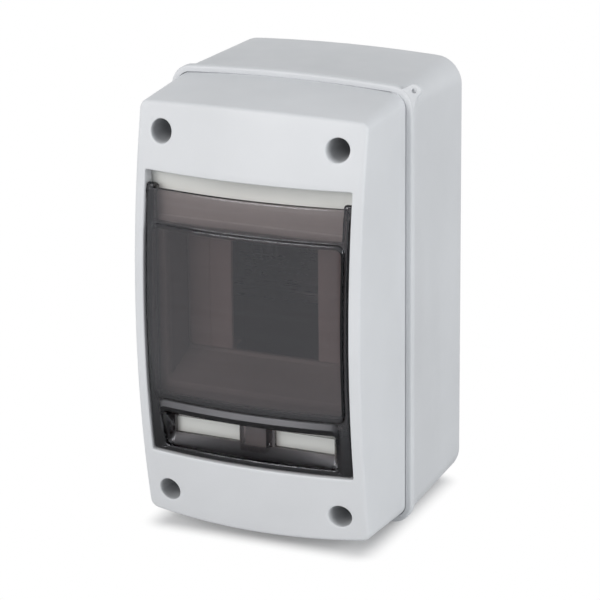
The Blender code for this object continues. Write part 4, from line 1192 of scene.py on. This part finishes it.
def pocketBlock():
    # tapered block between the two windows
    bm = bmesh.new()
    bmesh.ops.create_cube(bm, size=1.0)
    for vert in bm.verts:
        left, right, low, high, y = door["blockBack" if vert.co.y > 0 else "blockFront"]
        vert.co = (right if vert.co.x > 0 else left, y, high if vert.co.z > 0 else low)
    soften(bm, door["blockSoft"], 3)
    return bm


def doorPivots():
    # an ear at each end of the top edge, with the stud that turns in the cover
    bm = bmesh.new()
    radius, inner, outer, soft = door["ear"]
    stud, tip = door["stud"]
    profile = [(0.0, inner), (radius, inner), (radius, outer), (stud, outer), (stud, tip), (0.0, tip)]
    for right in sides.values():
        addSpun(bm, profile, (0, hingeY, hingeZ), (right, 0, 0))
    soften(bm, soft)
    for vert in bm.verts:                  # flush with the door's front
        front = apexY + door["sink"] + domeFall(vert.co.x, vert.co.z)
        vert.co.y = max(vert.co.y, front + door["earSink"])
    return bm


makeDoor()
print("smoked door made")


# Module frame behind the door

moduleFrame = {
    "flange": (-43.9, 43.9, -58.4, 59.8, 1.5),
    "flangeEdge": 0.4,
    "plate": 2.0,
    "railZ": 3.9,
    # half width and half height about the rail, and corner
    "bead": (39.5, 34.4, 2.0),
    "mouth": (36.5, 31.4, 0.8),
    "foot": (36.5, 24.5, 0.8),
    "window": (36.0, 23.0, 0.6),
    "beadHeight": 0.8,
    "beadFillet": 0.3,               # the rest of the bead's height is its round
    "mouthRound": 0.6,
    "windowEdge": 0.2,
}
ledgeY = nodeBox("module_frame")[0].y + moduleFrame["beadHeight"]
panelY = nodeBox("module_frame")[1].y - moduleFrame["plate"]


def aboutRail(key, by=0.0):
    x, half, corner = moduleFrame[key]
    middle = moduleFrame["railZ"]
    return grown((-x, x, middle - half, middle + half, corner), by)


def makeModuleFrame():
    bm = bmesh.new()
    flange, plate, soft = (moduleFrame[key] for key in ("flange", "plate", "flangeEdge"))
    height, fillet, lip, edge = (
        moduleFrame[key] for key in ("beadHeight", "beadFillet", "mouthRound", "windowEdge")
    )
    ridge = height - fillet
    start = (flange, ledgeY + soft)
    loop = roundedLoop(bm, *start, 4)
    stages = bend(*start, -soft, -soft, False, 2)
    stages += upTo(aboutRail("bead", fillet), ledgeY, -fillet, -fillet, True, 2)
    stages += bend(aboutRail("bead"), ledgeY - fillet, -ridge, -ridge, False, 3)
    stages += upTo(aboutRail("mouth", lip), ledgeY - height, -lip, lip, True, 3)
    stages += [(aboutRail("foot"), panelY)]
    stages += [(aboutRail("window", edge), panelY), (aboutRail("window"), panelY + edge)]
    stages += [(aboutRail("window"), panelY + plate), (aboutRail("foot", plate), panelY + plate)]
    stages += [(aboutRail("mouth", plate), ledgeY + plate), (flange, ledgeY + plate), start]
    chain(bm, loop, flange, stages)
    makePiece("moduleFrame", bm, framePlastic, "cover", "module_frame")


makeModuleFrame()
print("module frame made")


# Copies of plain CAD solids with softened edges

def softCopy(name, node, soft, material, body):
    bm = bmesh.new()
    bm.from_mesh(nodes[node].data)
    bmesh.ops.scale(bm, verts=bm.verts, vec=(1 / mm, 1 / mm, 1 / mm))
    bmesh.ops.remove_doubles(bm, verts=bm.verts, dist=near)
    bmesh.ops.dissolve_limit(bm, angle_limit=math.radians(2), verts=bm.verts, edges=bm.edges)
    soften(bm, soft)
    makePiece(name, bm, material, body, node)


for side in sides:
    softCopy("blank" + side.title(), "blank_" + side, 0.25, blankPlastic, "cover")
print("blanks made")


# Cover screws, their rings and the wall fixing caps

coverScrew = {
    "head": (4.1, 2.0, 7.0),         # radius, underside and top above the seat
    "core": (1.75, -19.5),           # radius and end
    "point": (0.9, 1.0),             # how much thinner, over which length
    "neck": (2.0, -8.0),             # plain shank down to the thread
    "neckEnd": 0.5,
    "soft": 0.35,
    "crest": (2.2, 0.12),            # radius and half width of the thread's crest
    "root": (0.3, 0.34),             # how deep it starts in the core, and half width in pitches
    "pitch": 1.6,
    "turns": 6,
    "turnSteps": 24,
    "slot": (1.4, 2.5),              # width and depth
    "cross": (1.2, 2.4, 1.8),        # width, half length and depth of the short arm across it
    "ring": (3.0, 0.7, 0.3),         # middle radius, cord radius and gap to the seat
}


def screwShape():
    # drawn with its seat at the origin
    bm = bmesh.new()
    head, under, top = coverScrew["head"]
    core, end = coverScrew["core"]
    neck, thread = coverScrew["neck"]
    thinner, length = coverScrew["point"]
    profile = [(0.0, top), (head, top), (head, under), (neck, under), (neck, thread)]
    profile += [(core, thread - coverScrew["neckEnd"]), (core, end + length)]
    profile += [(core - thinner, end), (0.0, end)]
    addSpun(bm, profile, (0, 0, 0))
    soften(bm, coverScrew["soft"])
    return bm


def threadRidge():
    bm = bmesh.new()
    core, end = coverScrew["core"]
    crest, narrow = coverScrew["crest"]
    sunk, wide = coverScrew["root"]
    pitch, turns, steps = (coverScrew[key] for key in ("pitch", "turns", "turnSteps"))
    ridge = ((core - sunk, pitch * wide), (core - sunk, -pitch * wide), (crest, -narrow), (crest, narrow))
    face = bm.faces.new([bm.verts.new((0.0, -(end + pitch + height), radius)) for radius, height in ridge])
    bmesh.ops.spin(
        bm, geom=[face], cent=(0, 0, 0), axis=(0, -1, 0), angle=2 * math.pi * turns,
        steps=steps * turns, dvec=(0, -pitch / steps, 0),
    )
    return bm


def cutDrive(piece, slot, cross, head, top):
    # a slot across the head, and a shorter arm across the slot where there is one
    width, depth = slot
    cuts = [((-head - 1, -top - 1, -width / 2), (head + 1, depth - top, width / 2))]
    if cross:
        width, half, depth = cross
        cuts.append(((-width / 2, -top - 1, -half), (width / 2, depth - top, half)))
    for low, high in cuts:
        bm = bmesh.new()
        addBar(bm, low, high)
        carve(piece, bm, "DIFFERENCE")


def placeCopies(first, name, spots):
    # gives each place its own copy of a shape drawn at the origin
    shape = first.data
    bpy.data.objects.remove(first)
    for (title, body, node), spot in spots.items():
        mesh = shape.copy()
        mesh.transform(Matrix.Translation(Vector(spot) * mm))
        handIn(addObject(name + title, mesh), body, node)


def makeCoverScrews():
    head, _, top = coverScrew["head"]
    first = looseShape("coverScrew", screwShape(), screwPlastic)
    carve(first, threadRidge(), "UNION")
    cutDrive(first, coverScrew["slot"], coverScrew["cross"], head, top)
    spots = {
        (plainTitle(corner), "cover_screw_" + corner, "cover_screw_" + corner): spot
        for corner, spot in screwPlace.items()
    }
    placeCopies(first, "coverScrew", spots)


def makeScrewRings():
    middle, cord, gap = coverScrew["ring"]
    for corner, spot in screwPlace.items():
        bm = bmesh.new()
        place = Matrix.Translation(spot + Vector((middle, -gap - cord, 0)))
        made = bmesh.ops.create_circle(bm, segments=14, radius=cord, matrix=place)["verts"]
        spinRound(bm, made + edgesRound(made), spot, (0, 1, 0), 36)
        name = "screwRing" + plainTitle(corner)
        makePiece(name, bm, sealRubber, "cover", "screw_seal_" + corner)


fixingCap = {
    "disc": (6.0, 1.4),              # radius and thickness
    "plug": (4.2, -2.4),
    "gap": 0.3,
    "soft": 0.45,
    "notch": (0.8, 0.7, 1.0),        # half width, depth and reach of the pry notch
}


def makeFixingCaps():
    disc, thick = fixingCap["disc"]
    plug, end = fixingCap["plug"]
    gap = fixingCap["gap"]
    half, deep, reach = fixingCap["notch"]
    front = box["bossY"] - thick
    profile = [(0.0, thick), (disc, thick), (disc, gap), (plug, gap), (plug, end), (0.0, end)]
    for corner, (right, up) in corners.items():
        x, z = right * box["fixing"][0], up * box["fixing"][1]
        bm = bmesh.new()
        addSpun(bm, profile, (x, box["bossY"], z), steps=40)
        soften(bm, fixingCap["soft"], 3)
        name = "fixingCap" + plainTitle(corner)
        piece = makePiece(name, bm, capPlastic, "back", "fixing_cap_" + corner)
        cut, edge = bmesh.new(), z - up * disc
        addBar(cut, (x - half, front - 1, edge - reach), (x + half, front + deep, edge + reach))
        carve(piece, cut, "DIFFERENCE")


makeCoverScrews()
makeScrewRings()
makeFixingCaps()
print("cover screws, rings and caps made")


# Gasket between the cover's edge and the box's step

gasket = {
    "outer": (47.1, 84.4, 5.0),
    "inner": (45.6, 82.9, 4.1),
    "soft": 0.5,
}


def makeGasket():
    bm = bmesh.new()
    low, high = (corner.y for corner in nodeBox("cover_gasket"))
    soft = gasket["soft"]
    outer, inner = rounded(*gasket["outer"]), rounded(*gasket["inner"])
    loop = roundedLoop(bm, outer, low + soft, 6)
    stages = upTo(outer, high - soft, -soft, soft, False, 3)
    stages += upTo(grown(inner, soft), high, -soft, -soft, True, 3)
    stages += upTo(inner, low + soft, soft, -soft, False, 3)
    stages += upTo(grown(outer, -soft), low, soft, soft, True, 3)
    chain(bm, loop, outer, stages)
    bowEnds(bm, box["front"][0], box["bow"], *box["bowZone"])
    makePiece("coverGasket", bm, sealRubber, "back", "cover_gasket")


makeGasket()
print("gasket made")


# Mounting rail and its screws

rail = {
    "height": 35.0,
    "brim": 5.0,
    "sheet": 1.0,
    "bend": 1.2,                     # wider than the sheet, so that the inside of the bends stays open
    "slot": (6.0, 2.1, 2.08),        # half length, half width and corner of the slots
    "slotX": (-28.0, 0.0, 28.0),
    "slotY": (-3.0, 2.0),            # the cut, from the rail's back
    "screw": (4.0, 2.6, 1.8, 10.0),  # head radius and height, shank radius and reach
    "drive": (1.0, 1.3),
    "cross": (1.0, 2.4, 1.6),
}


def makeRail():
    low, high = nodeBox("din_rail")
    front, back, sheet = low.y, high.y, rail["sheet"]
    middle, half = (low.z + high.z) / 2, rail["height"] / 2
    hat = half - rail["brim"] - sheet / 2
    web = back - sheet
    line = [(front, half), (front, hat), (web, hat), (web, -hat), (front, -hat), (front, -half)]
    bm = bmesh.new()
    verts = [bm.verts.new((low.x, y + sheet / 2, middle + z)) for y, z in line]
    edges = [bm.edges.new(pair) for pair in zip(verts, verts[1:])]
    drawn = bmesh.ops.extrude_edge_only(bm, edges=edges)["geom"]
    bmesh.ops.translate(bm, verts=vertsOf(drawn), vec=(high.x - low.x, 0, 0))
    bevel(bm, [edge for edge in bm.edges if edge.is_manifold], rail["bend"], 4)
    bmesh.ops.recalc_face_normals(bm, faces=bm.faces)
    bmesh.ops.solidify(bm, geom=bm.faces[:], thickness=sheet)
    shift = back - max(vert.co.y for vert in bm.verts)
    bmesh.ops.translate(bm, verts=bm.verts, vec=(0, shift, 0))
    piece = makePiece("dinRail", bm, zincPlate, "back", "din_rail")
    cut = bmesh.new()
    long, wide, corner = rail["slot"]
    start, end = rail["slotY"]
    for x in rail["slotX"]:
        slot = (x - long, x + long, middle - wide, middle + wide, corner)
        loop = roundedLoop(cut, slot, back + start, 8)
        capEnd(cut, loop)
        capEnd(cut, chain(cut, loop, slot, [(slot, back + end)]))
    carve(piece, cut, "DIFFERENCE")


panHead = {
    "dome": ((0.6, 0.1), (0.88, 0.5), (1.0, 1.2)),   # shares of the radius, and drops from the top
    "gap": 0.3,
    "point": (0.6, 0.8),             # how much thinner, over which length
    "soft": 0.15,
}


def panScrew(shape, slot, cross):
    head, height, shank, reach = shape
    gap = panHead["gap"]
    thinner, length = panHead["point"]
    profile = [(0.0, height)] + [(head * share, height - drop) for share, drop in panHead["dome"]]
    profile += [(head, gap), (shank, gap), (shank, length - reach), (shank - thinner, -reach), (0.0, -reach)]
    bm = bmesh.new()
    addSpun(bm, profile, (0, 0, 0), steps=28)
    soften(bm, panHead["soft"])
    piece = looseShape("panScrew", bm, zincPlate)
    cutDrive(piece, slot, cross, head, height)
    return piece


def makeRailScrews():
    webY = nodeBox("din_rail")[1].y - rail["sheet"]
    spots = {}
    for side in sides:
        low, high = nodeBox("rail_screw_" + side)
        middle = (low + high) / 2
        spots[(side.title(), "back", "rail_screw_" + side)] = (middle.x, webY, middle.z)
    first = panScrew(rail["screw"], rail["drive"], rail["cross"])
    placeCopies(first, "railScrew", spots)


makeRail()
makeRailScrews()
print("rail made")


# Terminal strips: holder, bar and clamp screws

strip = {
    "names": ("positive", "negative", "earth"),
    "soft": 0.4,
    "barSoft": 0.3,
    "pitch": 14.0,
    "wire": (2.2, 6.0, 16.0),        # radius of the wire holes, depth behind the bar's front, and length
    "tapped": (1.8, 2.0),            # radius of the screws' holes, and start in front of the bar
    "screw": (2.5, 2.4, 1.5, 3.0),   # head radius and height, shank radius and reach
    "slot": (0.8, 1.1),
    "count": 4,
}


def makeStrip(name):
    softCopy("holder" + name.title(), name + "_holder", strip["soft"], holderPlastic, "back")
    low, high = nodeBox(name + "_bar")
    middle = (low.z + high.z) / 2
    bm = bmesh.new()
    addBar(bm, low, high, strip["barSoft"])
    piece = makePiece("bar" + name.title(), bm, barBrass, "back", name + "_bar")
    radius, depth, length = strip["wire"]
    tapped, start = strip["tapped"]
    profile = [(0.0, start), (tapped, start), (tapped, -depth), (0.0, -depth)]
    spots = [(number - (strip["count"] - 1) / 2) * strip["pitch"] for number in range(strip["count"])]
    wires, taps = bmesh.new(), bmesh.new()
    for x in spots:
        addRod(wires, Matrix.Translation((x, low.y + depth, middle)), radius, length, 24)
        addSpun(taps, profile, (x, low.y, middle), steps=20)
    carve(piece, wires, "DIFFERENCE")
    carve(piece, taps, "DIFFERENCE")
    return {
        (name.title() + str(number), "back", "%s_screw_%d" % (name, number)): (x, low.y, middle)
        for number, x in enumerate(spots, 1)
    }


clampSpots = {}
for name in strip["names"]:
    clampSpots.update(makeStrip(name))
placeCopies(panScrew(strip["screw"], strip["slot"], None), "clampScrew", clampSpots)
print("terminal strips made")
